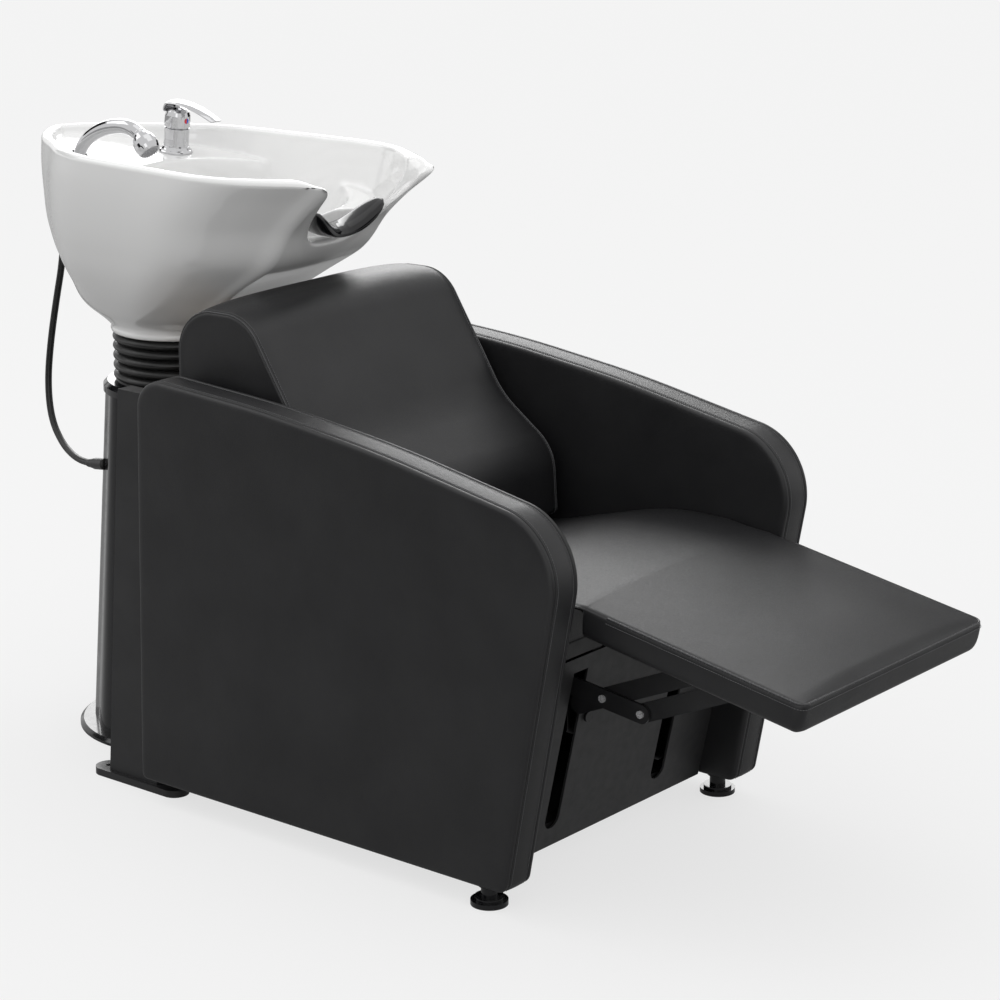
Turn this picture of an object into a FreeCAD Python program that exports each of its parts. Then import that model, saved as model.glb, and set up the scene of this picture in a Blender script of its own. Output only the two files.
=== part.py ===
import FreeCAD, Part
import math
import os
import re
import Sketcher
from FreeCAD import Placement, Rotation, Vector

# Hair washing bed: a seat with a folding legrest, and a tilting ceramic basin on a column.
# X runs to the sitter's left, Y to the back, Z up. The origin is on the floor on the column's axis.
# Distances named after the chair count from the two front feet, which stand feet_front ahead of it.

SIZES = {
    # Whole object
    "overrun": 5,
    "soft_gap": 0.3,
    "running_gap": 0.05,
    "hole_gap": 0.4,
    # Arms and their levelling feet
    "chair_width": 660,
    "arm_thick": 65,
    "arm_length": 871,
    "arm_height": 678,
    "arm_bottom": 37,
    "arm_nose": 160,
    "column_clear": 57,
    "arm_band": 8,
    "arm_panel": 8,
    "arm_band_inset": 2,
    "arm_bolt_head_radius": 9,
    "arm_bolt_head_thick": 4,
    "foot_radius": 29,
    "foot_disc_thick": 8,
    "foot_step_radius": 23,
    "foot_step_thick": 5,
    "foot_stem_radius": 13,
    "foot_collar_radius": 17,
    "foot_collar_thick": 7,
    "foot_stud_radius": 5,
    "foot_stud_length": 30,
    # Rear posts, plates and beams
    "post_thick": 30,
    "post_in": 55,
    "post_rear_in": 156,
    "post_front_lean": 18,
    "post_depth": 111,
    "post_top_depth": 78,
    "post_top": 676,
    "plate_length": 201,
    "plate_width": 46,
    "plate_thick": 12,
    "plate_rear_in": 206,
    "plate_hole_radius": 5,
    "plate_hole_step": 22,
    "beam_depth": 26,
    "beam_height": 40,
    "beam_rear_in": 136,
    "low_beam_bottom": 120,
    "high_beam_bottom": 556,
    "tie_width": 60,
    "tie_gap": 3,
    # Seat frame
    "frame_tube": 30,
    "frame_bottom": 370,
    "frame_front": 58,
    "inner_rail_in": 173,
    "rear_rail_in": 251,
    "side_rail_in": 133,
    "board_thick": 12,
    "board_front": 70,
    "board_in": 98,
    "board_rear_in": 161,
    "lower_rail_bottom": 42,
    # Front panel
    "panel_foot": 17,
    "panel_bottom": 35,
    "panel_height": 328,
    "panel_lean": 70.5,
    "panel_thick": 4,
    "slot_width": 35,
    "slot_in": 193,
    "stay_in": 230,
    "slot_bottom": 68,
    "slot_top": 338,
    "stay_width": 22,
    "stay_thick": 6,
    "panel_screw_height": 250,
    "panel_screw_radius": 4,
    "panel_screw_head": 8,
    "panel_screw_head_thick": 4,
    # Seat and legrest pads
    "pad_crown": 15,
    "pad_in": 85,
    "seat_rear_in": 101,
    "pad_draw": 6,
    "pad_corner": 14,
    "fold_front": 130,
    "fold_height": 470,
    "fold_cover": 12,
    "fold_gap": 1,
    "seat_lip": 43,
    "seat_lip_rise": 7,
    "closed_lean": 23,
    "closed_lean_run": 100,
    "seat_rise": 4,
    "seat_drop": 57,
    "legrest_length": 391,
    "legrest_thick": 50,
    "legrest_slope": 66,
    "legrest_board_inset": 4,
    "legrest_board_rear": 12,
    # Back
    "back_height": 390,
    "back_in": 87,
    "back_rear_in": 577,
    "back_base": 436,
    "back_depth": 389,
    "back_crown": 10,
    "back_board_thick": 14,
    "back_board_bottom": 440,
    "back_board_height": 330,
    "back_bracket_thick": 6,
    "back_bracket_in": 180,
    # Legrest linkage
    "link_width": 30,
    "link_thick": 5,
    "link_gap": 1,
    "link_pin_radius": 4,
    "link_head_radius": 6,
    "link_head_thick": 3,
    "pivot_back": 197,
    "pivot_drop": 87,
    "near_reach": 160,
    "near_drop": 78,
    "far_reach": 231,
    "far_drop": 87,
    "elbow_reach": 46,
    "elbow_drop": 64,
    "tail_length": 55,
    "shaft_radius": 9,
    "bearing_width": 44,
    "bearing_drop": 16,
    "hub_width": 40,
    "hub_depth": 36,
    "foot_rail_width": 24,
    "foot_rail_thick": 3,
    "foot_rail_length": 100,
    "link_pocket": 19,
    # Base flange and column
    "flange_radius": 190,
    "flange_thick": 10,
    "flange_edge_radius": 184,
    "flange_edge_thick": 5,
    "flange_hole_radius": 5,
    "flange_hole_circle": 176,
    "waste_hole_radius": 40,
    "tube_radius": 45,
    "tube_wall": 3,
    "shell_base_radius": 166,
    "shell_top_radius": 127,
    "shell_top": 600,
    "shell_wall": 6,
    "flute_depth": 6,
    "shell_split": 0.6,
    "cap_thick": 18,
    "cap_radius": 129,
    "cap_shoulder": 7,
    "cap_bore": 84,
    # Tilt joint and bellows
    "head_radius": 80,
    "head_thick": 8,
    "ear_side": 46,
    "ear_thick": 8,
    "ear_width": 40,
    "tilt_above_middle": 3.5,
    "tilt_pin_radius": 7,
    "tilt_head_radius": 12,
    "tilt_head_thick": 6,
    "ear_gap": 1,
    "bracket_radius": 96,
    "bracket_thick": 6,
    "bellows_radius": 111,
    "bellows_valley": 105,
    "bellows_bore": 100,
    # Waste
    "waste_forward": 18,
    "waste_radius": 20,
    "waste_wall": 2,
    "waste_top": 592,
    "tail_bottom": 676,
    "drain_radius": 22,
    "drain_flange_radius": 34,
    "drain_flange_thick": 4,
    "drain_boss_length": 26,
    "strainer_radius": 30,
    "strainer_thick": 3,
    "strainer_hole_radius": 3,
    "strainer_hole_circle": 16,
    # Basin
    "basin_length": 781,
    "basin_rear": 290,
    "basin_half_width": 222,
    "basin_bottom": 703,
    "basin_height": 321,
    "basin_wall": 11,
    "neck_bore": 86,
    "hollow_floor": 800,
    "deck_height": 987,
    "deck_slope_run": 100,
    "deck_slope_rise": 12,
    "rim_wall": 15,
    "notch_mouth_width": 108,
    "notch_mouth_reach": 495,
    "notch_throat_width": 63,
    "notch_throat_reach": 300,
    "notch_drop": 122,
    "notch_side_drop": 83,
    "rest_thick": 15,
    "rest_front": 368,
    "rest_depth": 46,
    # Mixer tap
    "tap_side": 85,
    "tap_back": 78,
    "tap_flange_radius": 29,
    "tap_flange_thick": 8,
    "tap_radius": 22,
    "tap_body_length": 34,
    "tap_joint_radius": 19,
    "tap_joint_gap": 1,
    "tap_cap_length": 26,
    "tap_shank_radius": 11,
    "tap_shank_length": 34,
    "tap_nut_radius": 19,
    "tap_nut_thick": 8,
    "lever_length": 116,
    "lever_width": 34,
    "lever_tip_width": 24,
    "lever_thick": 5,
    "lever_lift": 9,
    "lever_axle_radius": 3,
    "marker_radius": 5,
    "marker_thick": 1.2,
    # Hand shower
    "shower_side": 105,
    "shower_back": 117,
    "socket_radius": 18,
    "socket_height": 16,
    "shower_radius": 10,
    "shower_plug_length": 14,
    "shower_rise": 62,
    "shower_reach": 150,
    "shower_dip": 22,
    "shower_bend": 34,
    "shower_head_radius": 21,
    "shower_head_length": 34,
    "spray_radius": 17,
    "spray_thick": 3,
    # Hose
    "hose_radius": 6,
    "gland_radius": 10,
    "gland_depth": 30,
}

# Sizes that follow others: the chair's parts keep their distance from the arms' outer sides and from
# the arms' rear end, and the arms' rear end keeps its distance from the column
half_chair = SIZES["chair_width"] / 2
SIZES["feet_front"] = SIZES["arm_length"] + SIZES["column_clear"]
SIZES["post_side"] = half_chair - SIZES["post_in"]
SIZES["inner_rail_side"] = half_chair - SIZES["inner_rail_in"]
SIZES["slot_side"] = half_chair - SIZES["slot_in"]
SIZES["stay_side"] = half_chair - SIZES["stay_in"]
SIZES["board_half_width"] = half_chair - SIZES["board_in"]
SIZES["pad_half_width"] = half_chair - SIZES["pad_in"]
SIZES["back_half_width"] = half_chair - SIZES["back_in"]
SIZES["back_bracket_side"] = half_chair - SIZES["back_bracket_in"]
SIZES["post_front"] = SIZES["arm_length"] - SIZES["post_rear_in"]
SIZES["plate_front"] = SIZES["arm_length"] - SIZES["plate_rear_in"]
SIZES["beam_front"] = SIZES["arm_length"] - SIZES["beam_rear_in"]
SIZES["rear_rail_place"] = SIZES["arm_length"] - SIZES["rear_rail_in"]
SIZES["side_rail_length"] = SIZES["arm_length"] - SIZES["side_rail_in"]
SIZES["board_length"] = SIZES["arm_length"] - SIZES["board_rear_in"]
SIZES["seat_length"] = SIZES["arm_length"] - SIZES["seat_rear_in"]
SIZES["back_front"] = SIZES["arm_length"] - SIZES["back_rear_in"]
SIZES["tilt_height"] = (SIZES["shell_top"] + SIZES["basin_bottom"]) / 2 + SIZES["tilt_above_middle"]

FLUTES = 10
BELLOWS_RINGS = 5
STRAINER_HOLES = 8

doc = FreeCAD.newDocument("HairWashingBed")
sheet = doc.addObject("Spreadsheet::Sheet", "Sizes")
for row, (alias, number) in enumerate(SIZES.items(), start=1):
    sheet.set("A%d" % row, alias)
    sheet.set("B%d" % row, str(number))
    sheet.setAlias("B%d" % row, alias)
doc.recompute()


class Cells:
    """Reads a driving dimension from the spreadsheet by its alias."""

    def __getattr__(self, alias):
        return float(sheet.get(alias))


S = Cells()
PARTS = []
SIDES = (("left", 1), ("right", -1))


def formula(text):
    """Puts the sheet's name before every alias in an expression."""
    return re.sub(r"[a-z_]+", lambda m: "Sizes." + m.group(0) if m.group(0) in SIZES else m.group(0), text)


def bind(thing, **formulas):
    for path, text in formulas.items():
        thing.setExpression(path.replace("__", "."), formula(text))
    return thing


def keep(thing, label):
    """Lists an object as a sub-part that gets a file of its own."""
    thing.Label = label
    PARTS.append(thing)
    return thing


def block(name, x, y, z, dx, dy, dz):
    """A box bound to the sheet, from its lowest corner and its three sides."""
    made = doc.addObject("Part::Box", name)
    return bind(made, Length=dx, Width=dy, Height=dz,
                Placement__Base__x=x, Placement__Base__y=y, Placement__Base__z=z)


AXIS_TURNS = {
    "x": Rotation(Vector(0, 1, 0), 90),
    "y": Rotation(Vector(1, 0, 0), -90),
    "z": Rotation(),
}


def rod(name, axis, x, y, z, radius, length):
    """A cylinder bound to the sheet, from the centre of its first face."""
    made = doc.addObject("Part::Cylinder", name)
    made.Placement = Placement(Vector(), AXIS_TURNS[axis])
    return bind(made, Radius=radius, Height=length,
                Placement__Base__x=x, Placement__Base__y=y, Placement__Base__z=z)


def fuse(name, *things):
    made = doc.addObject("Part::MultiFuse", name)
    made.Shapes = list(things)
    return made


def group(name, *things):
    """Separate solids of one kind that share a sub-part."""
    made = doc.addObject("Part::Compound", name)
    made.Links = list(things)
    return made


def cut(name, base, *tools):
    made = doc.addObject("Part::Cut", name)
    made.Base = base
    made.Tool = tools[0] if len(tools) == 1 else fuse(name + "_tools", *tools)
    return made


def solid(name, shape):
    """A sub-part whose shape is worked out here from the sheet's sizes."""
    made = doc.addObject("Part::Feature", name)
    made.Shape = shape
    return keep(made, name)


def helper(name, shape):
    made = doc.addObject("Part::Feature", name)
    made.Shape = shape
    return made


def chair(y):
    """Turns a distance behind the front feet into a place along Y."""
    return y - S.feet_front


def box(x0, x1, y0, y1, z0, z1):
    return Part.makeBox(x1 - x0, y1 - y0, z1 - z0, Vector(x0, y0, z0))


def cylinder(start, direction, radius, length):
    return Part.makeCylinder(radius, length, start, direction)


def side_box(side, x0, x1, y0, y1, z0, z1):
    """A box on one side of the middle plane, x0 to x1 from it."""
    low, high = sorted((side * x0, side * x1))
    return box(low, high, y0, y1, z0, z1)


def side_rod(side, x0, x1, y, z, radius):
    """A cylinder along X on one side of the middle plane."""
    low = min(side * x0, side * x1)
    return cylinder(Vector(low, y, z), Vector(1, 0, 0), radius, x1 - x0)


def side_plate(side, wire, x0, x1):
    """Pulls an outline in the plane X = 0 to a plate from x0 to x1 on one side."""
    low = min(side * x0, side * x1)
    face = Part.Face(wire)
    face.translate(Vector(low, 0, 0))
    return face.extrude(Vector(x1 - x0, 0, 0))


def join(shapes):
    whole = shapes[0].multiFuse(shapes[1:])
    return whole.removeSplitter()


def rounded(points, radii):
    """A closed outline of straight runs with a tangent arc of its own radius at every corner."""
    count = len(points)
    starts, middles, ends = [], [], []
    for i, (point, radius) in enumerate(zip(points, radii)):
        before = (points[i - 1] - point).normalize()
        after = (points[(i + 1) % count] - point).normalize()
        half = before.getAngle(after) / 2
        reach = radius / math.tan(half)
        inward = (before + after).normalize()
        centre = point + inward * (radius / math.sin(half))
        starts.append(point + before * reach)
        ends.append(point + after * reach)
        middles.append(centre - inward * radius)
    edges = []
    for i in range(count):
        if radii[i] > 0:
            edges.append(Part.Arc(starts[i], middles[i], ends[i]).toShape())
        if (starts[(i + 1) % count] - ends[i]).Length > 0:
            edges.append(Part.LineSegment(ends[i], starts[(i + 1) % count]).toShape())
    return Part.Wire(edges)


def bar(start, end, width):
    """A flat bar's outline with round ends about two points in the plane X = 0."""
    along = (end - start).normalize()
    across = Vector(0, -along.z, along.y) * (width / 2)
    tip = along * (width / 2)
    edges = [
        Part.LineSegment(start + across, end + across).toShape(),
        Part.Arc(end + across, end + tip, end - across).toShape(),
        Part.LineSegment(end - across, start - across).toShape(),
        Part.Arc(start - across, start - tip, start + across).toShape(),
    ]
    return Part.Wire(edges)


def smooth_loop(points, shares=None):
    """A closed smooth curve through points, with the shares of the way round given or taken from the points."""
    curve = Part.BSplineCurve()
    curve.interpolate(Points=points, PeriodicFlag=True, Parameters=shares or way_round(points))
    return Part.Wire([curve.toShape()])


def way_round(points):
    """Shares of the way round a closed row of points, at each point and back at the first."""
    run = [0]
    for start, end in zip(points, points[1:] + points[:1]):
        run.append(run[-1] + (end - start).Length)
    return [value / run[-1] for value in run]


def body_plane(body, role):
    return [item for item in body.Origin.OriginFeatures if item.Role == role][0]


def revolved(name, profile):
    """A body turned about Z, from corners given as pairs of expressions for radius and height."""
    body = doc.addObject("PartDesign::Body", name)
    sketch = body.newObject("Sketcher::SketchObject", name + "_profile")
    sketch.AttachmentSupport = (body_plane(body, "XZ_Plane"), [""])
    sketch.MapMode = "FlatFace"
    count = len(profile)
    doc.recompute()
    spots = [Vector(value(radius), value(height), 0) for radius, height in profile]
    for i in range(count):
        sketch.addGeometry(Part.LineSegment(spots[i], spots[(i + 1) % count]), False)
    for i in range(count):
        sketch.addConstraint(Sketcher.Constraint("Coincident", i, 2, (i + 1) % count, 1))
    for i, (radius, height) in enumerate(profile):
        for kind, place, expression, axis in (("DistanceX", spots[i].x, radius, -2),
                                              ("DistanceY", spots[i].y, height, -1)):
            if expression == "0":
                sketch.addConstraint(Sketcher.Constraint("PointOnObject", i, 1, axis))
            else:
                index = sketch.addConstraint(Sketcher.Constraint(kind, -1, 1, i, 1, place))
                sketch.setExpression("Constraints[%d]" % index, formula(expression))
    turn = body.newObject("PartDesign::Revolution", name + "_turn")
    turn.Profile = sketch
    turn.ReferenceAxis = (sketch, ["V_Axis"])
    turn.Angle = 360
    body.Tip = turn
    doc.recompute()
    return body


def value(expression):
    """The number that an expression in sheet aliases gives now."""
    total, sign = 0.0, 1
    for word in expression.split():
        if word in "+-":
            sign = 1 if word == "+" else -1
        else:
            total += sign * (0.0 if word == "0" else float(sheet.get(word)))
    return total


def ring_of_holes(body, name, radius, circle, count):
    """Round holes down through a body, on a circle about Z."""
    sketch = body.newObject("Sketcher::SketchObject", name + "_sketch")
    sketch.AttachmentSupport = (body_plane(body, "XY_Plane"), [""])
    sketch.MapMode = "FlatFace"
    sketch.addGeometry(Part.Circle(Vector(S.flange_hole_circle, 0, 0), Vector(0, 0, 1), S.flange_hole_radius), False)
    sketch.addConstraint(Sketcher.Constraint("PointOnObject", 0, 3, -1))
    index = sketch.addConstraint(Sketcher.Constraint("DistanceX", -1, 1, 0, 3, value(circle)))
    sketch.setExpression("Constraints[%d]" % index, formula(circle))
    index = sketch.addConstraint(Sketcher.Constraint("Radius", 0, value(radius)))
    sketch.setExpression("Constraints[%d]" % index, formula(radius))
    pocket = body.newObject("PartDesign::Pocket", name + "_pocket")
    pocket.Profile = sketch
    pocket.Type = "ThroughAll"
    pocket.Reversed = True
    doc.recompute()
    pattern = body.newObject("PartDesign::PolarPattern", name)
    pattern.Originals = [pocket]
    pattern.Axis = (body_plane(body, "Z_Axis"), [""])
    pattern.Angle = 360
    pattern.Occurrences = count
    body.Tip = pattern
    doc.recompute()
    return body


# Arms: a padded slab with a leather band round its edge and a panel on each face

ARM_INNER = "chair_width / 2 - arm_thick"
arm_inner = S.chair_width / 2 - S.arm_thick
arm_outer = S.chair_width / 2

# Corners as shares of the arm's length and height, with the radius of each as a share of the height
ARM_CORNER_SHARES = (
    (1.0, 0.0, 0.018),
    (0.979, 1.0, 0.071),
    (0.677, 0.981, 3.6),
    (0.402, 0.941, 3.6),
    (0.0, 0.85, 0.162),
    (0.122, 0.0, 0.026),
)


def arm_outline():
    points, radii = [], []
    for along, up, radius in ARM_CORNER_SHARES:
        y = chair(along * S.arm_length - S.arm_nose)
        points.append(Vector(0, y, S.arm_bottom + up * S.arm_height))
        radii.append(radius * S.arm_height)
    return rounded(points, radii)


outline_wire = arm_outline()
inner_wire = outline_wire.makeOffset2D(-S.arm_band)
foot_side = (arm_inner + arm_outer) / 2
foot_y = chair(0)
frame_top = S.frame_bottom + S.frame_tube
frame_middle = S.frame_bottom + S.frame_tube / 2
ARM_BOLT_SHARES = (0.1, 0.45, 0.8)

for side_name, side in SIDES:
    stud_hole = cylinder(Vector(side * foot_side, foot_y, 0), Vector(0, 0, 1),
                         S.foot_stud_radius + S.running_gap, S.arm_bottom + S.foot_stud_length + S.overrun)
    low, high = arm_inner + S.arm_band_inset, arm_outer - S.arm_band_inset
    band = side_plate(side, outline_wire, low, high).cut(side_plate(side, inner_wire, low, high))
    solid("arm_band_" + side_name, band.cut(stud_hole))
    core = side_plate(side, inner_wire, arm_inner + S.arm_panel, arm_outer - S.arm_panel)
    solid("arm_core_" + side_name, core.cut(stud_hole))
    solid("arm_panels_" + side_name, Part.makeCompound([
        side_plate(side, inner_wire, arm_outer - S.arm_panel, arm_outer),
        side_plate(side, inner_wire, arm_inner, arm_inner + S.arm_panel)]))


def levelling_foot(side_name, side):
    """A two-step disc on a collared stem, with a stud that screws up into the arm."""
    x = "%d * (chair_width / 2 - arm_thick / 2)" % side
    stem = "arm_bottom - foot_disc_thick - foot_step_thick"
    pieces = [
        rod("foot_disc_" + side_name, "z", x, "-feet_front", "0", "foot_radius", "foot_disc_thick"),
        rod("foot_step_" + side_name, "z", x, "-feet_front", "foot_disc_thick", "foot_step_radius",
            "foot_step_thick"),
        rod("foot_stem_" + side_name, "z", x, "-feet_front", "foot_disc_thick + foot_step_thick",
            "foot_stem_radius", stem),
        rod("foot_collar_" + side_name, "z", x, "-feet_front", "arm_bottom - foot_collar_thick - soft_gap",
            "foot_collar_radius", "foot_collar_thick"),
        rod("foot_stud_" + side_name, "z", x, "-feet_front", "arm_bottom - foot_collar_thick",
            "foot_stud_radius", "foot_collar_thick + foot_stud_length"),
    ]
    bind(pieces[2], Height=stem + " - soft_gap")
    keep(fuse("levelling_foot_" + side_name, *pieces), "levelling_foot_" + side_name)


for side_name, side in SIDES:
    levelling_foot(side_name, side)

# Seat frame: welded square tubes between the arms, with boards on top

FRAME_BACK = "-feet_front - frame_front"
keep(fuse(
    "seat_frame_tubes",
    block("side_tube_left", ARM_INNER + " - frame_tube", FRAME_BACK, "frame_bottom",
          "frame_tube", "side_rail_length", "frame_tube"),
    block("side_tube_right", "-(" + ARM_INNER + ")", FRAME_BACK, "frame_bottom",
          "frame_tube", "side_rail_length", "frame_tube"),
    block("inner_tube_left", "inner_rail_side", FRAME_BACK, "frame_bottom",
          "frame_tube", "beam_front + frame_front", "frame_tube"),
    block("inner_tube_right", "-inner_rail_side - frame_tube", FRAME_BACK, "frame_bottom",
          "frame_tube", "beam_front + frame_front", "frame_tube"),
    block("front_tube", "-(" + ARM_INNER + ")", FRAME_BACK, "frame_bottom",
          "2 * (" + ARM_INNER + ")", "frame_tube", "frame_tube"),
    block("rear_tube", "-(" + ARM_INNER + ")", "rear_rail_place - feet_front", "frame_bottom",
          "2 * (" + ARM_INNER + ")", "frame_tube", "frame_tube"),
), "seat_frame")

keep(block("seat_board", "-board_half_width", "-feet_front - board_front", "frame_bottom + frame_tube",
           "2 * board_half_width", "board_length", "board_thick"), "seat_board")

# Front panel: a leaning sheet with two slots for the legrest's links


def panel_y(z):
    """The panel's front face at a height."""
    return chair(S.panel_foot - (z - S.panel_bottom) * S.panel_lean / S.panel_height)


panel_top = S.panel_bottom + S.panel_height
lean_end = Vector(0, panel_y(panel_top), panel_top)
lean_start = Vector(0, panel_y(S.panel_bottom), S.panel_bottom)
sheet_back = Vector(0, S.panel_thick, 0)
panel_wire = Part.makePolygon([lean_start, lean_end, lean_end + sheet_back, lean_start + sheet_back, lean_start])
panel = Part.Face(panel_wire).extrude(Vector(2 * arm_inner, 0, 0))
panel.translate(Vector(-arm_inner, 0, 0))
slot_half = S.slot_width / 2
panel_reach = S.panel_lean + S.panel_thick + 2 * S.overrun
panel_start = panel_y(panel_top) - S.overrun
for side_name, side in SIDES:
    middle = side * S.slot_side
    tall = box(middle - slot_half, middle + slot_half, panel_start, panel_start + panel_reach,
               S.slot_bottom + slot_half, S.slot_top)
    round_end = cylinder(Vector(middle, panel_start, S.slot_bottom + slot_half), Vector(0, 1, 0),
                         slot_half, panel_reach)
    screw_hole = cylinder(Vector(side * S.stay_side, panel_start, S.panel_screw_height), Vector(0, 1, 0),
                          S.panel_screw_radius + S.running_gap, panel_reach)
    panel = panel.cut(tall).cut(round_end).cut(screw_hole)
solid("front_panel", panel)

rail_y = panel_y(S.lower_rail_bottom) + S.panel_thick
lower_rail = box(-arm_inner, arm_inner, rail_y, rail_y + S.frame_tube, S.lower_rail_bottom,
                 S.lower_rail_bottom + S.frame_tube)

stays = []
screws = []
stay_low = S.lower_rail_bottom + S.frame_tube
for side_name, side in SIDES:
    y_low, y_high = panel_y(stay_low) + S.panel_thick, panel_y(panel_top) + S.panel_thick
    front_low = Vector(0, y_low, stay_low)
    front_high = Vector(0, y_high, panel_top)
    top_lip = Vector(0, y_high, S.frame_bottom)
    back = Vector(0, S.stay_thick, 0)
    wire = Part.makePolygon([front_low, front_high, top_lip, top_lip + back, front_high + back,
                             front_low + back, front_low])
    stay = side_plate(side, wire, S.stay_side - S.stay_width / 2, S.stay_side + S.stay_width / 2)
    screw_y = panel_y(S.panel_screw_height)
    shank_length = S.panel_thick + S.stay_thick + S.overrun
    hole = cylinder(Vector(side * S.stay_side, screw_y - S.overrun, S.panel_screw_height), Vector(0, 1, 0),
                    S.panel_screw_radius + S.running_gap, shank_length + 2 * S.overrun)
    stays.append(stay.cut(hole))
    step = S.panel_screw_head * S.panel_lean / S.panel_height
    head_y = screw_y - step - S.panel_screw_head_thick
    head = cylinder(Vector(side * S.stay_side, head_y, S.panel_screw_height), Vector(0, 1, 0),
                    S.panel_screw_head, S.panel_screw_head_thick)
    shank = cylinder(Vector(side * S.stay_side, head_y, S.panel_screw_height), Vector(0, 1, 0),
                     S.panel_screw_radius, shank_length + S.panel_screw_head_thick)
    screws.append(head.fuse(shank))
solid("panel_frame", join([lower_rail] + stays))
solid("panel_screws", Part.makeCompound(screws))

# Arm bolts: their heads inside the seat frame's side tubes hold the arms on

arm_bolts = []
for side_name, side in SIDES:
    for share in ARM_BOLT_SHARES:
        y = chair(share * S.side_rail_length - S.frame_front)
        head = side_rod(side, arm_inner - S.frame_tube - S.arm_bolt_head_thick, arm_inner - S.frame_tube, y,
                        frame_middle, S.arm_bolt_head_radius)
        arm_bolts.append(head)
solid("arm_bolts", Part.makeCompound(arm_bolts))

# Rear posts on foot plates, joined by beams, and the tie to the column

post_inner = S.post_side - S.post_thick / 2
post_outer = S.post_side + S.post_thick / 2
for side_name, side in SIDES:
    front, back = chair(S.post_front), chair(S.post_front + S.post_depth)
    top_front = front - S.post_front_lean
    wire = Part.makePolygon([
        Vector(0, front, S.plate_thick), Vector(0, back, S.plate_thick),
        Vector(0, top_front + S.post_top_depth, S.post_top), Vector(0, top_front, S.post_top),
        Vector(0, front, S.plate_thick)])
    solid("rear_post_" + side_name, side_plate(side, wire, post_inner, post_outer))

plates = []
for side_name, side in SIDES:
    middle = "%d * post_side" % side
    front_end = "plate_front + plate_width / 2 - feet_front"
    rear_end = "plate_front + plate_length - plate_width / 2 - feet_front"
    strip = block("plate_strip_" + side_name, middle + " - plate_width / 2", front_end, "0",
                  "plate_width", "plate_length - plate_width", "plate_thick")
    ends = [rod("plate_end_%s_%d" % (side_name, i), "z", middle, place, "0", "plate_width / 2", "plate_thick")
            for i, place in enumerate((front_end, rear_end))]
    hole = rod("plate_hole_" + side_name, "z", middle,
               "plate_front + plate_length - plate_hole_step - feet_front", "-overrun",
               "plate_hole_radius", "plate_thick + 2 * overrun")
    whole = fuse("plate_body_" + side_name, strip, *ends)
    plates.append(cut("foot_plate_" + side_name, whole, hole))
keep(group("foot_plate_pair", *plates), "foot_plates")

BEAM_SIDE = "post_side - post_thick / 2"
beams = []
for name, bottom, height in (("low_beam", "low_beam_bottom", "beam_height"),
                             ("seat_beam", "frame_bottom", "frame_tube"),
                             ("high_beam", "high_beam_bottom", "beam_height")):
    beams.append(block(name, "-(" + BEAM_SIDE + ")", "beam_front - feet_front", bottom,
                       "2 * (" + BEAM_SIDE + ")", "beam_depth", height))

tie_y = chair(S.beam_front + S.beam_depth)
tie = box(-S.tie_width / 2, S.tie_width / 2, tie_y, 0, S.low_beam_bottom, S.low_beam_bottom + S.beam_height)
tie = tie.cut(cylinder(Vector(0, 0, 0), Vector(0, 0, 1), S.tube_radius, S.shell_top))
for _, side in SIDES:
    beams.append(helper("back_bracket", side_box(
        side, S.back_bracket_side, S.back_bracket_side + S.back_bracket_thick,
        chair(S.back_front + S.back_depth), chair(S.beam_front),
        S.high_beam_bottom, S.high_beam_bottom + S.beam_height)))
keep(group("rear_beam_set", *beams, helper("column_tie", tie)), "rear_beams")

# Base flange and column

flange = revolved("flange_body", [
    ("waste_hole_radius", "0"), ("flange_radius", "0"), ("flange_radius", "flange_edge_thick"),
    ("flange_edge_radius", "flange_thick"), ("waste_hole_radius", "flange_thick")])
ring_of_holes(flange, "flange_holes", "flange_hole_radius", "flange_hole_circle", 4)
keep(flange, "base_flange")

keep(revolved("tube_body", [
    ("tube_radius - tube_wall", "flange_thick"), ("tube_radius", "flange_thick"),
    ("tube_radius", "shell_top"), ("tube_radius - tube_wall", "shell_top")]), "column_tube")


def fluted_loop(radius, z):
    """A circle whose edge dips in shallow flutes."""
    points = []
    steps = FLUTES * 4
    for i in range(steps):
        turn = 2 * math.pi * i / steps
        dip = S.flute_depth * (1 - math.cos(FLUTES * turn)) / 2
        points.append(Vector((radius - dip) * math.sin(turn), -(radius - dip) * math.cos(turn), z))
    return smooth_loop(points)


def shell_radius(z):
    share = (z - S.flange_thick) / (S.shell_top - S.flange_thick)
    return S.shell_base_radius + (S.shell_top_radius - S.shell_base_radius) * share


outer_shell = Part.makeLoft([fluted_loop(S.shell_base_radius, S.flange_thick),
                             fluted_loop(S.shell_top_radius, S.shell_top)], True, True)
inner_cut = S.flute_depth + S.shell_wall
inner_shell = Part.makeCone(S.shell_base_radius - inner_cut, S.shell_top_radius - inner_cut,
                            S.shell_top - S.flange_thick, Vector(0, 0, S.flange_thick))
shell = outer_shell.cut(inner_shell)
tie_hole = box(-S.tie_width / 2 - S.tie_gap, S.tie_width / 2 + S.tie_gap, -S.shell_base_radius - S.overrun, 0,
               S.low_beam_bottom - S.tie_gap, S.low_beam_bottom + S.beam_height + S.tie_gap)
shell = shell.cut(tie_hole)
reach = S.flange_radius

# Hose: it leaves the basin's underside, hangs in a bend and enters the column from behind

HOSE_ROUTE = (
    (-5, 268, 834), (-7, 272, 786), (-14, 284, 718), (-22, 295, 640), (-30, 298, 568),
    (-41, 281, 508), (-54, 243, 473), (-67, 199, 457), (-78, 156, 455), (-86, 122, 461),
)
hose_points = [Vector(*point) for point in HOSE_ROUTE]
BEND_SHARE = 0.45


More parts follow.
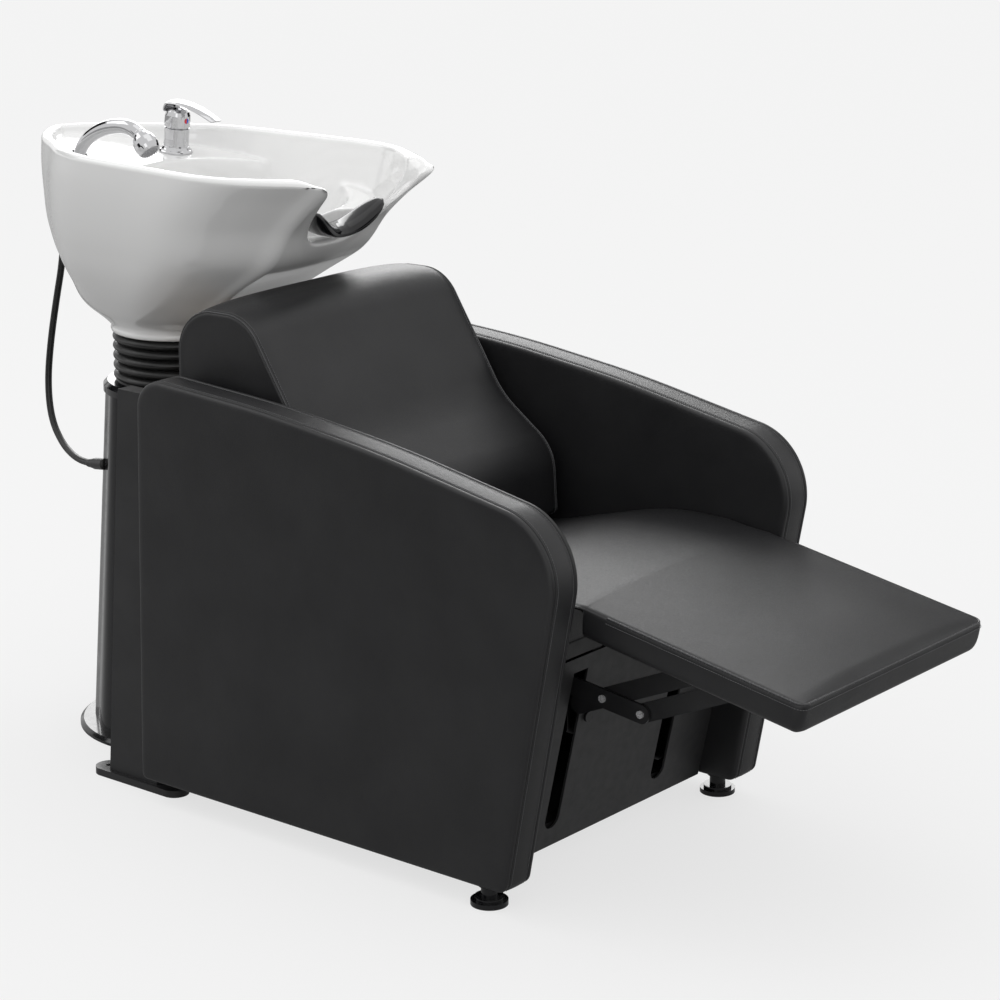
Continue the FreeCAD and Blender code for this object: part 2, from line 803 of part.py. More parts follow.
def cord_path(points):
    """Straight runs joined by tangent arcs, each as large as its two runs allow."""
    edges, radii = [], []
    last = points[0]
    for before, corner, after in zip(points, points[1:], points[2:]):
        back = before - corner
        on = after - corner
        shorter = min(back.Length, on.Length)
        turn = math.pi - back.getAngle(on)
        reach = BEND_SHARE * shorter
        radius = reach / math.tan(turn / 2)
        radii.append(radius)
        back.normalize()
        on.normalize()
        inward = (back + on).normalize()
        start, end = corner + back * reach, corner + on * reach
        middle = corner + inward * (radius / math.cos(turn / 2) - radius)
        edges.append(Part.LineSegment(last, start).toShape())
        edges.append(Part.Arc(start, middle, end).toShape())
        last = end
    edges.append(Part.LineSegment(last, points[-1]).toShape())
    return Part.Wire(edges), radii


hose_wire, hose_radii = cord_path(hose_points)
first_way = (hose_points[1] - hose_points[0]).normalize()
last_way = (hose_points[-1] - hose_points[-2]).normalize()
hose_face = Part.Wire([Part.Circle(hose_points[0], first_way, S.hose_radius).toShape()])
hose = hose_wire.makePipeShell([hose_face], True, False)
print("hose radii", [round(radius) for radius in hose_radii])
print("hose volume over section times length",
      round(hose.Volume / (math.pi * S.hose_radius ** 2 * hose_wire.Length), 4))
solid("shower_hose", hose)

gland_start = hose_points[-1]
gland_hole = cylinder(gland_start - last_way * S.overrun, last_way,
                      S.gland_radius + S.running_gap, S.gland_depth + 2 * S.overrun)
shell = shell.cut(gland_hole)
solid("hose_grommet", cylinder(gland_start, last_way, S.gland_radius, S.gland_depth))
split = S.shell_split / 2
front_half = box(-reach, reach, -reach, -split, 0, S.shell_top + S.overrun)
rear_half = box(-reach, reach, split, reach, 0, S.shell_top + S.overrun)
solid("column_cover_front", shell.common(front_half))
solid("column_cover_rear", shell.common(rear_half))

keep(revolved("cap_body", [
    ("cap_bore", "shell_top"), ("cap_radius", "shell_top"),
    ("cap_radius", "shell_top + cap_thick - cap_shoulder"),
    ("cap_radius - cap_shoulder", "shell_top + cap_thick"), ("cap_bore", "shell_top + cap_thick")]),
    "column_cap")

# Tilt joint: a yoke on the tube, a bracket under the basin and the pin through both

ear_bottom = S.shell_top + S.head_thick
ear_reach = S.ear_width / 2
pin_gap = S.tilt_pin_radius + S.running_gap


def ear(side, start, stop, z0, z1, hole):
    """One ear with a round end about the tilt axis."""
    low, high = min(z0, z1), max(z0, z1)
    plate = side_box(side, start, stop, -ear_reach, ear_reach, low, high)
    plate = plate.fuse(side_rod(side, start, stop, 0, S.tilt_height, ear_reach))
    return plate.cut(side_rod(side, start - S.overrun, stop + S.overrun, 0, S.tilt_height, hole))


head = cylinder(Vector(0, 0, S.shell_top), Vector(0, 0, 1), S.head_radius, S.head_thick)
waste_pass = cylinder(Vector(0, -S.waste_forward, 0), Vector(0, 0, 1),
                      S.waste_radius + S.hole_gap, S.basin_bottom)
ears = [ear(side, S.ear_side, S.ear_side + S.ear_thick, ear_bottom, S.tilt_height, pin_gap) for _, side in SIDES]
solid("tilt_yoke", join([head.cut(waste_pass)] + ears))

bracket_low = S.basin_bottom - S.bracket_thick
outer_ear = S.ear_side + S.ear_thick + S.ear_gap
plate = cylinder(Vector(0, 0, bracket_low), Vector(0, 0, 1), S.bracket_radius, S.bracket_thick)
ears = [ear(side, outer_ear, outer_ear + S.ear_thick, S.tilt_height, bracket_low, S.tilt_pin_radius)
        for _, side in SIDES]
solid("basin_bracket", join([plate.cut(waste_pass)] + ears))

pin_end = outer_ear + S.ear_thick
pins = []
for _, side in SIDES:
    shank = side_rod(side, S.ear_side, pin_end, 0, S.tilt_height, S.tilt_pin_radius)
    pin_head = side_rod(side, pin_end, pin_end + S.tilt_head_thick, 0, S.tilt_height, S.tilt_head_radius)
    pins.append(join([shank, pin_head]))
solid("tilt_pins", Part.makeCompound(pins))

bellows_low = S.shell_top + S.cap_thick
bellows_high = S.basin_bottom - S.soft_gap
pitch = (bellows_high - bellows_low) / BELLOWS_RINGS
RIB_SHARES = ((0.0, 0), (0.3, 1), (0.7, 1), (1.0, 0))
bellows = None
for ring in range(BELLOWS_RINGS):
    circles = []
    for share, peak in RIB_SHARES:
        radius = S.bellows_radius if peak else S.bellows_valley
        centre = Vector(0, 0, bellows_low + (ring + share) * pitch)
        circles.append(Part.Wire([Part.Circle(centre, Vector(0, 0, 1), radius).toShape()]))
    rib = Part.makeLoft(circles, True, True)
    bellows = rib if bellows is None else bellows.fuse(rib)
bellows = bellows.cut(cylinder(Vector(0, 0, bellows_low - S.overrun), Vector(0, 0, 1), S.bellows_bore,
                               bellows_high - bellows_low + 2 * S.overrun))
solid("bellows", bellows)

doc.recompute()

# Seat pad and legrest: one leather run at rest, parted under its cover at the fold

fold = Vector(0, chair(0) - S.fold_front, S.fold_height)
slope = math.atan2(S.legrest_slope, S.legrest_length)
FORWARD = Vector(0, -math.cos(slope), -math.sin(slope))
NORMAL = Vector(0, -math.sin(slope), math.cos(slope))


def pad_section(place, top, bottom, up, crown):
    """A cushion's cross-section: crowned top, sides drawn in below a rounded edge."""
    half = S.pad_half_width
    corner = S.pad_corner
    drawn = half - S.pad_draw
    side_middle = place + up * ((top + bottom) / 2)
    spots = [
        place + up * bottom + Vector(-drawn, 0, 0),
        place + up * bottom + Vector(drawn, 0, 0),
        side_middle + Vector(half, 0, 0),
        place + up * top + Vector(half - corner * crown / S.pad_crown / 3, 0, 0),
        place + up * (top + crown),
        place + up * top + Vector(-half + corner * crown / S.pad_crown / 3, 0, 0),
        side_middle + Vector(-half, 0, 0),
    ]
    return Part.Wire([
        Part.LineSegment(spots[0], spots[1]).toShape(),
        Part.LineSegment(spots[1], spots[2]).toShape(),
        Part.LineSegment(spots[2], spots[3]).toShape(),
        Part.Arc(spots[3], spots[4], spots[5]).toShape(),
        Part.LineSegment(spots[5], spots[6]).toShape(),
        Part.LineSegment(spots[6], spots[0]).toShape(),
    ])


UP = Vector(0, 0, 1)
board_top = S.frame_bottom + S.frame_tube + S.board_thick
lip_start = fold.y + S.fold_gap
lip_end = fold.y + S.seat_lip
# Places along the seat behind the fold as shares of its length, with the top's rise or drop
SEAT_TOP_SHARES = ((0.117, 1.0, 0.0), (0.25, 0.2, 0.0), (0.44, 0.0, 0.6), (0.55, 0.0, 1.0), (1.0, 0.0, 1.0))
cover_top = S.fold_height + S.fold_cover


def seat_top(rise, drop):
    return cover_top + rise * S.seat_rise - drop * S.seat_drop


sections = []
for along, rise, drop in SEAT_TOP_SHARES:
    place = Vector(0, fold.y + along * S.seat_length, 0)
    crown = S.pad_crown if drop < 1 else S.pad_crown / 3
    sections.append(pad_section(place, seat_top(rise, drop), board_top, UP, crown))
LIP_RISE_SHARE = 0.6
front_sections = [pad_section(Vector(0, lip_start, 0), cover_top, board_top, UP, S.pad_crown),
                  pad_section(Vector(0, lip_end, 0), seat_top(LIP_RISE_SHARE, 0), board_top, UP, S.pad_crown)]
pad = Part.makeLoft(front_sections + sections, True, True)


def closed_room():
    """The room that the legrest swings into under the seat's lip, as wide as the pads."""
    top = S.fold_height + S.seat_lip_rise
    bottom = board_top - S.overrun
    rear_top = fold.y + S.seat_lip
    rear_bottom = rear_top + (top - bottom) * S.closed_lean / S.closed_lean_run
    ahead = fold.y - S.overrun
    reach = S.pad_half_width + S.overrun
    wire = Part.makePolygon([Vector(-reach, ahead, bottom), Vector(-reach, rear_bottom, bottom),
                             Vector(-reach, rear_top, top), Vector(-reach, ahead, top),
                             Vector(-reach, ahead, bottom)])
    return Part.Face(wire).extrude(Vector(2 * reach, 0, 0))


solid("seat_pad", pad.cut(closed_room()))

# The legrest's pad is lofted along its slope, with a rounded front end
board_level = S.fold_cover - S.legrest_thick + S.board_thick
LEGREST_SHARES = ((0.0, 1.0, 1.0), (0.3, 1.0, 1.0), (0.6, 1.0, 1.0), (0.93, 1.0, 0.9), (0.98, 0.86, 0.6),
                  (1.0, 0.5, 0.2))
legrest_run = S.legrest_length - S.fold_gap
sections = []
for along, height, crown in LEGREST_SHARES:
    place = fold + FORWARD * (S.fold_gap + along * legrest_run)
    top = board_level + (S.fold_cover - board_level) * height
    sections.append(pad_section(place, top, board_level, NORMAL, S.pad_crown * crown))
solid("legrest_pad", Part.makeLoft(sections, True, True))


def legrest_box(side_low, side_high, ahead_low, ahead_high, low, high):
    """A box in the legrest's own frame: X, the run forward of the fold and the height above it."""
    corner = fold + FORWARD * ahead_low + NORMAL * low
    corner.x = side_low
    across = Vector(side_high - side_low, 0, 0)
    wire = Part.makePolygon([corner, corner + across, corner + across + FORWARD * (ahead_high - ahead_low),
                             corner + FORWARD * (ahead_high - ahead_low), corner])
    return Part.Face(wire).extrude(NORMAL * (high - low))


# Linkage: each side has a lift link from the cross shaft, a long cross link and a strut
def spot(back, drop):
    return Vector(0, fold.y + back, fold.z - drop)


shaft = spot(S.pivot_back, S.pivot_drop)
outer_near = spot(-S.near_reach, S.near_drop)
outer_far = spot(-S.far_reach, S.far_drop)
knuckle = outer_near + (shaft - fold)
toe = outer_far + (shaft - fold)
elbow = spot(S.pivot_back - S.elbow_reach, S.pivot_drop + S.elbow_drop)
tail = knuckle + (knuckle - outer_near).normalize() * S.tail_length
inner_plane = S.slot_side - S.link_thick
outer_plane = S.slot_side + S.link_gap
bracket_plane = inner_plane - S.link_gap - S.link_thick
pin_hole = S.link_pin_radius + S.running_gap

board_low = S.fold_cover - S.legrest_thick
near_ahead = (outer_near - fold).dot(FORWARD)
far_ahead = (outer_far - fold).dot(FORWARD)
pocket_half = S.link_width / 2 + S.overrun
board_side = S.pad_half_width - S.pad_draw - S.legrest_board_inset
board_shape = legrest_box(-board_side, board_side, S.legrest_board_rear, legrest_run - S.legrest_board_inset,
                          board_low, board_level)
for _, side in SIDES:
    low, high = sorted((side * (inner_plane - S.link_gap / 2), side * (inner_plane + S.link_pocket)))
    pocket = legrest_box(low, high, near_ahead - pocket_half, far_ahead + pocket_half,
                         board_low - S.overrun, board_level + S.overrun)
    board_shape = board_shape.cut(pocket)
solid("legrest_board", board_shape)

rails = []
rail_middle = (near_ahead + far_ahead) / 2
near_height = (outer_near - fold).dot(NORMAL)
for _, side in SIDES:
    low, high = sorted((side * bracket_plane, side * (bracket_plane + S.link_thick)))
    start, stop = rail_middle - S.foot_rail_length / 2, rail_middle + S.foot_rail_length / 2
    web = legrest_box(low, high, start, stop, near_height - S.link_head_radius - S.link_gap, board_low)
    low, high = sorted((side * (bracket_plane - S.foot_rail_width), side * bracket_plane))
    foot = legrest_box(low, high, start, stop, board_low - S.foot_rail_thick, board_low)
    rail = web.fuse(foot)
    for place in (outer_near, outer_far):
        rail = rail.cut(side_rod(side, bracket_plane - S.overrun, bracket_plane + S.link_thick + S.overrun,
                                 place.y, place.z, S.link_pin_radius))
    rails.append(rail.removeSplitter())
solid("legrest_rails", Part.makeCompound(rails))


def headed_pin(side, inner, outer, place):
    """A pin through plates from inner to outer, with a round head on both ends."""
    shank = side_rod(side, inner, outer, place.y, place.z, S.link_pin_radius)
    near = side_rod(side, inner - S.link_head_thick, inner, place.y, place.z, S.link_head_radius)
    far = side_rod(side, outer, outer + S.link_head_thick, place.y, place.z, S.link_head_radius)
    return join([shank, near, far])


def link(side, plane, points, holes, hole_radius):
    """A flat link with round ends through its points, drilled at its pivots."""
    wires = [bar(a, b, S.link_width) for a, b in zip(points, points[1:])]
    plates = [side_plate(side, wire, plane, plane + S.link_thick) for wire in wires]
    plate = join(plates) if len(plates) > 1 else plates[0]
    for place in holes:
        plate = plate.cut(side_rod(side, plane - S.overrun, plane + S.link_thick + S.overrun,
                                   place.y, place.z, hole_radius))
    return plate


bearings = []
legrest_pins = []
lift_links = []
for side_name, side in SIDES:
    lift = link(side, outer_plane, [toe, knuckle, elbow, shaft], [knuckle, toe], S.link_pin_radius)
    shaft_hole = side_rod(side, outer_plane - S.overrun, outer_plane + S.link_thick + S.overrun,
                          shaft.y, shaft.z, S.shaft_radius)
    lift_links.append(lift.cut(shaft_hole))
    solid("cross_link_" + side_name,
          link(side, inner_plane, [tail, outer_near], [knuckle, outer_near], pin_hole))
    solid("strut_link_" + side_name, link(side, inner_plane, [toe, outer_far], [toe, outer_far], pin_hole))
    plate = side_box(side, outer_plane + 2 * S.link_thick, S.inner_rail_side,
                     shaft.y - S.bearing_width / 2, shaft.y + S.bearing_width / 2,
                     shaft.z - S.bearing_drop, board_top - S.board_thick)
    bearings.append(plate.cut(side_rod(side, outer_plane + S.link_thick, S.inner_rail_side + S.overrun,
                                       shaft.y, shaft.z, S.shaft_radius + S.running_gap)))
    for place in (outer_near, outer_far):
        legrest_pins.append(headed_pin(side, bracket_plane, inner_plane + S.link_thick + S.link_gap, place))
solid("shaft_bearings", Part.makeCompound(bearings))
solid("legrest_pins", Part.makeCompound(legrest_pins))
lift_pins = []
for _, side in SIDES:
    for place in (knuckle, toe):
        lift_pins.append(headed_pin(side, inner_plane - S.link_gap, outer_plane + S.link_thick, place))
solid("lift_pins", Part.makeCompound(lift_pins))
shaft_end = S.inner_rail_side - S.link_gap
cross_shaft = cylinder(Vector(-shaft_end, shaft.y, shaft.z), Vector(1, 0, 0), S.shaft_radius, 2 * shaft_end)
solid("lift_frame", join([cross_shaft] + lift_links))
hub = box(-S.hub_width / 2, S.hub_width / 2, shaft.y - S.hub_depth / 2, shaft.y + S.hub_depth / 2,
          shaft.z - S.hub_depth / 2, board_top - S.board_thick)
solid("friction_hub", hub.cut(cylinder(Vector(-S.hub_width, shaft.y, shaft.z), Vector(1, 0, 0),
                                       S.shaft_radius + S.running_gap, 2 * S.hub_width)))

# Backrest: a cushion with an S-shaped front on a board that two brackets hold to the upper beam

# Corners behind the front of the seat line and above its base, as shares of depth and height, with radii
BACK_CORNER_SHARES = (
    (0.951, 0.0, 0.03),
    (0.0, 0.0, 0.03),
    (0.02, 0.287, 0.2),
    (0.303, 0.485, 0.42),
    (0.62, 1.0, 0.11),
    (1.0, 0.99, 0.14),
    (1.0, 0.78, 0.3),
)


def back_outline(grow):
    points, radii = [], []
    for along, up, radius in BACK_CORNER_SHARES:
        points.append(Vector(0, chair(S.back_front + along * S.back_depth), S.back_base + up * S.back_height))
        radii.append(radius * S.back_height)
    wire = rounded(points, radii)
    return wire.makeOffset2D(grow) if grow else wire


back_board_y = S.back_front + S.back_depth - S.back_board_thick
cushion = side_plate(1, back_outline(0), 0, S.back_half_width - S.pad_corner)
narrow = back_outline(-S.back_crown)
edge = Part.makeLoft([
    Part.Wire([e.translated(Vector(S.back_half_width - S.pad_corner, 0, 0)) for e in back_outline(0).Edges]),
    Part.Wire([e.translated(Vector(S.back_half_width, 0, 0)) for e in narrow.Edges]),
], True, True)
half = cushion.fuse(edge)
other = half.mirror(Vector(0, 0, 0), Vector(1, 0, 0))
cushion = join([half, other])
board_room = box(-S.back_half_width - S.overrun, S.back_half_width + S.overrun, chair(back_board_y - S.soft_gap),
                 chair(S.back_front + S.back_depth + S.overrun), 0,
                 S.back_board_bottom + S.back_board_height + S.soft_gap)
solid("back_cushion", cushion.cut(board_room))
solid("back_board", box(-S.board_half_width, S.board_half_width, chair(back_board_y),
                        chair(S.back_front + S.back_depth),
                        S.back_board_bottom, S.back_board_bottom + S.back_board_height))

# Basin: a teardrop shell with two horns at the front, a bowl, a deck and a neck that sits on the bellows

# Rim from the horn to the rear end: share of the length, share of the half width
RIM_SHARES = (
    (0.0, 0.0), (0.0, 0.3), (0.0, 0.54), (0.055, 0.65), (0.132, 0.82), (0.209, 0.95), (0.3, 1.0), (0.44, 0.97),
    (0.59, 0.93), (0.67, 0.89), (0.747, 0.79), (0.823, 0.613), (0.9, 0.437), (0.965, 0.22), (1.0, 0.0),
)
# Outer wall by height: share of the height, front as share of the length, rear as share, half width share,
# and how round the outline is
OUTER_SHARES = (
    (0.0, 0.493, 0.77, 0.486, 1.0),
    (0.05, 0.489, 0.782, 0.5, 1.0),
    (0.14, 0.42, 0.87, 0.6, 0.6),
    (0.27, 0.35, 0.915, 0.73, 0.25),
    (0.385, 0.285, 0.955, 0.82, 0.08),
    (0.5, 0.215, 0.98, 0.885, 0.0),
    (0.72, 0.14, 0.994, 0.96, 0.0),
    (0.87, 0.07, 1.0, 0.99, 0.0),
    (1.0, 0.0, 1.0, 1.0, 0.0),
)
# Bowl by height above the floor: share of the height to the rim, front, rear and half width shares
HOLLOW_SHARES = (
    (0.0, 0.38, 0.66, 0.44),
    (0.1, 0.34, 0.667, 0.62),
    (0.35, 0.27, 0.671, 0.77),
    (0.7, 0.21, 0.675, 0.88),
    (1.05, 0.19, 0.68, 0.93),
)
basin_front = S.basin_rear - S.basin_length
rim_right = [Vector(wide * S.basin_half_width, along * S.basin_length, 0) for along, wide in RIM_SHARES]
rim_left = [Vector(-point.x, point.y, 0) for point in reversed(rim_right[1:-1])]
rim_round = way_round(rim_right + rim_left)


def basin_outline(z, front, rear, half, round_share, inset=0):
    """A closed teardrop outline at a height, morphed toward a circle."""
    y0, y1 = basin_front + front * S.basin_length + inset, basin_front + rear * S.basin_length - inset
    half_width = half * S.basin_half_width - inset
    count = len(RIM_SHARES) - 1
    right = []
    for i, (along, wide) in enumerate(RIM_SHARES):
        turn = math.pi * i / count
        circle_y = (y0 + y1) / 2 - (y1 - y0) / 2 * math.cos(turn)
        circle_x = half_width * math.sin(turn)
        y = (y0 + along * (y1 - y0)) * (1 - round_share) + circle_y * round_share
        x = half_width * wide * (1 - round_share) + circle_x * round_share
        right.append(Vector(x, y, z))
    left = [Vector(-point.x, point.y, point.z) for point in reversed(right[1:-1])]
    return smooth_loop(right + left, rim_round)


def oval(z, front, rear, half):
    """The bowl's outline at a height: an oval with the same points all round."""
    y0, y1 = basin_front + front * S.basin_length, basin_front + rear * S.basin_length
    half_width = half * S.basin_half_width
    count = 16
    points = []
    for i in range(count):
        turn = 2 * math.pi * i / count
        points.append(Vector(half_width * math.sin(turn), (y0 + y1) / 2 - (y1 - y0) / 2 * math.cos(turn), z))
    return smooth_loop(points, [i / count for i in range(count + 1)])


rim_top = S.basin_bottom + S.basin_height
outer = Part.makeLoft([basin_outline(S.basin_bottom + up * S.basin_height, front, rear, half, round_share)
                       for up, front, rear, half, round_share in OUTER_SHARES], True, False)
bowl_height = rim_top - S.hollow_floor
hollow = Part.makeLoft([oval(S.hollow_floor + up * bowl_height, front, rear, half)
                        for up, front, rear, half in HOLLOW_SHARES], True, False)

deck_lean = math.atan2(S.deck_slope_rise, S.deck_slope_run)
DECK_UP = Vector(0, -math.sin(deck_lean), math.cos(deck_lean))
deck_point = Vector(0, S.tap_back, S.deck_height)


def deck_z(y, drop=0):
    """The deck's height at a place, less a depth below it."""
    return S.deck_height + (y - S.tap_back) * S.deck_slope_rise / S.deck_slope_run - drop


def above_deck(drop):
    """Everything above the deck's slope, less a depth, over the whole basin."""
    y0, y1 = basin_front - S.overrun, S.basin_rear + S.overrun
    top = rim_top + S.basin_height
    wire = Part.makePolygon([Vector(0, y0, deck_z(y0, drop)), Vector(0, y1, deck_z(y1, drop)),
                             Vector(0, y1, top), Vector(0, y0, top), Vector(0, y0, deck_z(y0, drop))])
    reach = S.basin_half_width + S.overrun
    slab = Part.Face(wire).extrude(Vector(2 * reach, 0, 0))
    slab.translate(Vector(-reach, 0, 0))
    return slab


DECK_FRONT_SHARE = 0.56
rim_inner = Part.makeLoft([basin_outline(z, 0.0, 1.0, 1.0, 0.0, S.rim_wall)
                           for z in (S.hollow_floor, rim_top + S.overrun)], True, True)
deck_front = basin_front + DECK_FRONT_SHARE * S.basin_length
recess = rim_inner.common(above_deck(0)).common(
    box(-S.basin_half_width, S.basin_half_width, deck_front, S.basin_rear, S.hollow_floor, rim_top + S.overrun))

inner_skin = Part.makeLoft([basin_outline(S.basin_bottom + up * S.basin_height, front, rear, half, round_share,
                                          S.basin_wall)
                            for up, front, rear, half, round_share in OUTER_SHARES], True, False)
# The service space lies below the bowl's floor and behind its rear wall
floor_under = S.hollow_floor - S.basin_wall
bowl_rear = basin_front + max(rear for _, _, rear, _ in HOLLOW_SHARES) * S.basin_length + S.basin_wall
wide = S.basin_half_width + S.overrun
under = box(-wide, wide, basin_front, bowl_rear, S.basin_bottom - S.overrun, floor_under)
behind = box(-wide, wide, bowl_rear, S.basin_rear + S.overrun, S.basin_bottom - S.overrun, rim_top)
void = inner_skin.common(join([under, behind])).cut(above_deck(S.basin_wall))
neck_hole = cylinder(Vector(0, 0, S.basin_bottom - S.overrun), Vector(0, 0, 1), S.neck_bore,
                     S.basin_wall + 2 * S.overrun)


def notch_edge(reach_share):
    """Half width, side height and floor of the neck notch between its mouth and its throat."""
    width = S.notch_mouth_width + (S.notch_throat_width - S.notch_mouth_width) * reach_share
    side_z = rim_top - S.notch_side_drop * reach_share
    return width, side_z, rim_top - S.notch_drop


def notch_wire(y, width, side_z, floor_z):
    top = rim_top + S.overrun
    return Part.Wire([
        Part.LineSegment(Vector(width, y, top), Vector(-width, y, top)).toShape(),
        Part.LineSegment(Vector(-width, y, top), Vector(-width, y, side_z)).toShape(),
        Part.Arc(Vector(-width, y, side_z), Vector(0, y, floor_z), Vector(width, y, side_z)).toShape(),
        Part.LineSegment(Vector(width, y, side_z), Vector(width, y, top)).toShape(),
    ])


mouth_y, throat_y = -S.notch_mouth_reach, -S.notch_throat_reach
notch = Part.makeLoft([notch_wire(mouth_y, *notch_edge(0)), notch_wire(throat_y, *notch_edge(1))], True, True)
drain_hole = cylinder(Vector(0, -S.waste_forward, S.basin_bottom), Vector(0, 0, 1),
                      S.drain_radius + S.hole_gap, S.basin_height / 2)


def on_deck(x, y):
    return Vector(x, y, deck_z(y))


tap_foot = on_deck(S.tap_side, S.tap_back)
shower_foot = on_deck(-S.shower_side, S.shower_back)
shank_hole = cylinder(tap_foot - DECK_UP * (S.basin_wall + S.tap_shank_length), DECK_UP,
                      S.tap_shank_radius + S.hole_gap, S.tap_shank_length + 2 * S.basin_wall)
shower_hole = cylinder(shower_foot - DECK_UP * (S.basin_wall + S.tap_shank_length), DECK_UP,
                       S.shower_radius + S.hole_gap, S.tap_shank_length + 2 * S.basin_wall)
gland_way = first_way * -1
hose_hole = cylinder(hose_points[0] - gland_way * S.overrun, gland_way, S.gland_radius + S.running_gap,
                     S.gland_depth + S.overrun)
basin = outer.cut(void).cut(neck_hole).cut(hollow).cut(recess).cut(notch)
basin = basin.cut(drain_hole).cut(shank_hole).cut(shower_hole).cut(hose_hole)


# Corners of the sectors in which the shell is parted, in degrees from the front about an upright line
BOWL_TURNS = (-180, -160, -140, -115, -90, -65, -40, -17, 0, 17, 40, 65, 90, 115, 140, 160, 180)
FOOT_TURNS = (-180, -135, -90, -45, 0, 45, 90, 135, 180)
REAR_TURNS = (90, 120, 150, 180, 210, 240, 270)
SLAB_TURNS = (90, 180, 270)
# Levels of the parting as shares of the basin's height
BOWL_LEVELS = (0.395, 0.558)
REAR_LEVELS = (0.178, 0.395)
BOWL_MIDDLE_SHARE = 0.488
FOOT_MIDDLE_SHARE = 0.6


def wedge(middle_y, turns, z0, z1):
    """The room between two upright planes through a line at a place along the basin."""
    far = 2 * S.basin_length
    corners = [Vector(0, middle_y, z0)]
    for share in (0, 1 / 2, 1):
        turn = math.radians(turns[0] + (turns[1] - turns[0]) * share)
        corners.append(Vector(far * math.sin(turn), middle_y - far * math.cos(turn), z0))
    return Part.Face(Part.makePolygon(corners + corners[:1])).extrude(Vector(0, 0, z1 - z0))


def sectors(shape, middle_y, turns, z0, z1):
    """A shape between two levels, parted in sectors that meet face to face."""
    found = []
    reach = 2 * S.basin_length
    band = shape.common(box(-reach, reach, -reach, reach, z0, z1))
    for pair in zip(turns, turns[1:]):
        found += band.common(wedge(middle_y, pair, z0, z1)).Solids
    return found


def basin_blocks(shell):
    """The shell in blocks that meet face to face: foot, floor, bowl, and behind it wall, deck and rim."""
    below, above = S.basin_bottom - S.overrun, rim_top + S.overrun
    reach = S.basin_length
    ahead = shell.common(box(-reach, reach, basin_front - reach, bowl_rear, below, above))
    rear = shell.common(box(-reach, reach, bowl_rear, reach, below, above))
    bowl_middle = basin_front + BOWL_MIDDLE_SHARE * S.basin_length
    foot_middle = basin_front + FOOT_MIDDLE_SHARE * S.basin_length
    levels = [S.hollow_floor] + [S.basin_bottom + share * S.basin_height for share in BOWL_LEVELS] + [above]
    blocks = sectors(ahead, foot_middle, FOOT_TURNS, below, floor_under)
    blocks += sectors(ahead, bowl_middle, FOOT_TURNS, floor_under, S.hollow_floor)
    for z0, z1 in zip(levels, levels[1:]):
        blocks += sectors(ahead, bowl_middle, BOWL_TURNS, z0, z1)
    over_deck, under_deck = above_deck(0), above_deck(S.basin_wall)
    levels = [below] + [S.basin_bottom + share * S.basin_height for share in REAR_LEVELS] + [above]
    wall = rear.cut(under_deck)
    for z0, z1 in zip(levels, levels[1:]):
        blocks += sectors(wall, bowl_rear, REAR_TURNS, z0, z1)
    blocks += sectors(rear.common(under_deck).cut(over_deck), bowl_rear, SLAB_TURNS, below, above)
    blocks += sectors(rear.common(over_deck), bowl_rear, REAR_TURNS, below, above)
    return blocks


blocks = basin_blocks(basin)
print("basin blocks", len(blocks), "share of the shell", round(sum(b.Volume for b in blocks) / basin.Volume, 5))
print("smallest blocks", sorted(round(b.Volume) for b in blocks)[:12])
solid("basin", Part.makeCompound(blocks))
solid("hose_gland", cylinder(hose_points[0], gland_way, S.gland_radius, S.gland_depth))

# Neck rest: a soft saddle in the notch between the horns


def rest_wire(y):
    share = (y - mouth_y) / (throat_y - mouth_y)
    width, side_z, floor_z = notch_edge(share)
    width -= S.soft_gap
    floor_z += S.soft_gap
    inner = width - S.rest_thick
    return Part.Wire([
        Part.Arc(Vector(-width, y, side_z), Vector(0, y, floor_z), Vector(width, y, side_z)).toShape(),
        Part.LineSegment(Vector(width, y, side_z), Vector(inner, y, side_z)).toShape(),
        Part.Arc(Vector(inner, y, side_z), Vector(0, y, floor_z + S.rest_thick),
                 Vector(-inner, y, side_z)).toShape(),
        Part.LineSegment(Vector(-inner, y, side_z), Vector(-width, y, side_z)).toShape(),
    ])


solid("neck_rest", Part.makeLoft([rest_wire(-S.rest_front), rest_wire(-S.rest_front + S.rest_depth)],
                                 True, True))

# Waste: strainer and drain in the bowl, a tailpiece inside the bellows, and a pipe down the column

drain_top = S.hollow_floor + S.drain_flange_thick
waste_at = Vector(0, -S.waste_forward, 0)
drain = cylinder(waste_at + UP * S.hollow_floor, UP, S.drain_flange_radius, S.drain_flange_thick)
drain = drain.fuse(cylinder(waste_at + UP * (S.hollow_floor - S.drain_boss_length), UP, S.drain_radius,
                            S.drain_boss_length))
drain = drain.fuse(cylinder(waste_at + UP * S.tail_bottom, UP, S.waste_radius,
                            S.hollow_floor - S.tail_bottom))
drain = drain.cut(cylinder(waste_at + UP * (S.tail_bottom - S.overrun), UP, S.waste_radius - S.waste_wall,
                           drain_top - S.tail_bottom + 2 * S.overrun))
solid("drain_body", drain.removeSplitter())
strainer = cylinder(waste_at + UP * drain_top, UP, S.strainer_radius, S.strainer_thick)
for i in range(STRAINER_HOLES):
    turn = 2 * math.pi * i / STRAINER_HOLES
    at = waste_at + UP * drain_top
    at += Vector(S.strainer_hole_circle * math.cos(turn), S.strainer_hole_circle * math.sin(turn), -S.overrun)
    strainer = strainer.cut(cylinder(at, UP, S.strainer_hole_radius, S.strainer_thick + 2 * S.overrun))
solid("drain_strainer", strainer)
pipe = cylinder(waste_at, UP, S.waste_radius, S.waste_top)
pipe = pipe.cut(cylinder(waste_at - UP * S.overrun, UP, S.waste_radius - S.waste_wall,
                         S.waste_top + 2 * S.overrun))
solid("waste_pipe", pipe)
low, high = S.waste_top, S.tail_bottom
hose_outer = cylinder(waste_at + UP * low, UP, S.waste_radius - S.soft_gap, high - low)
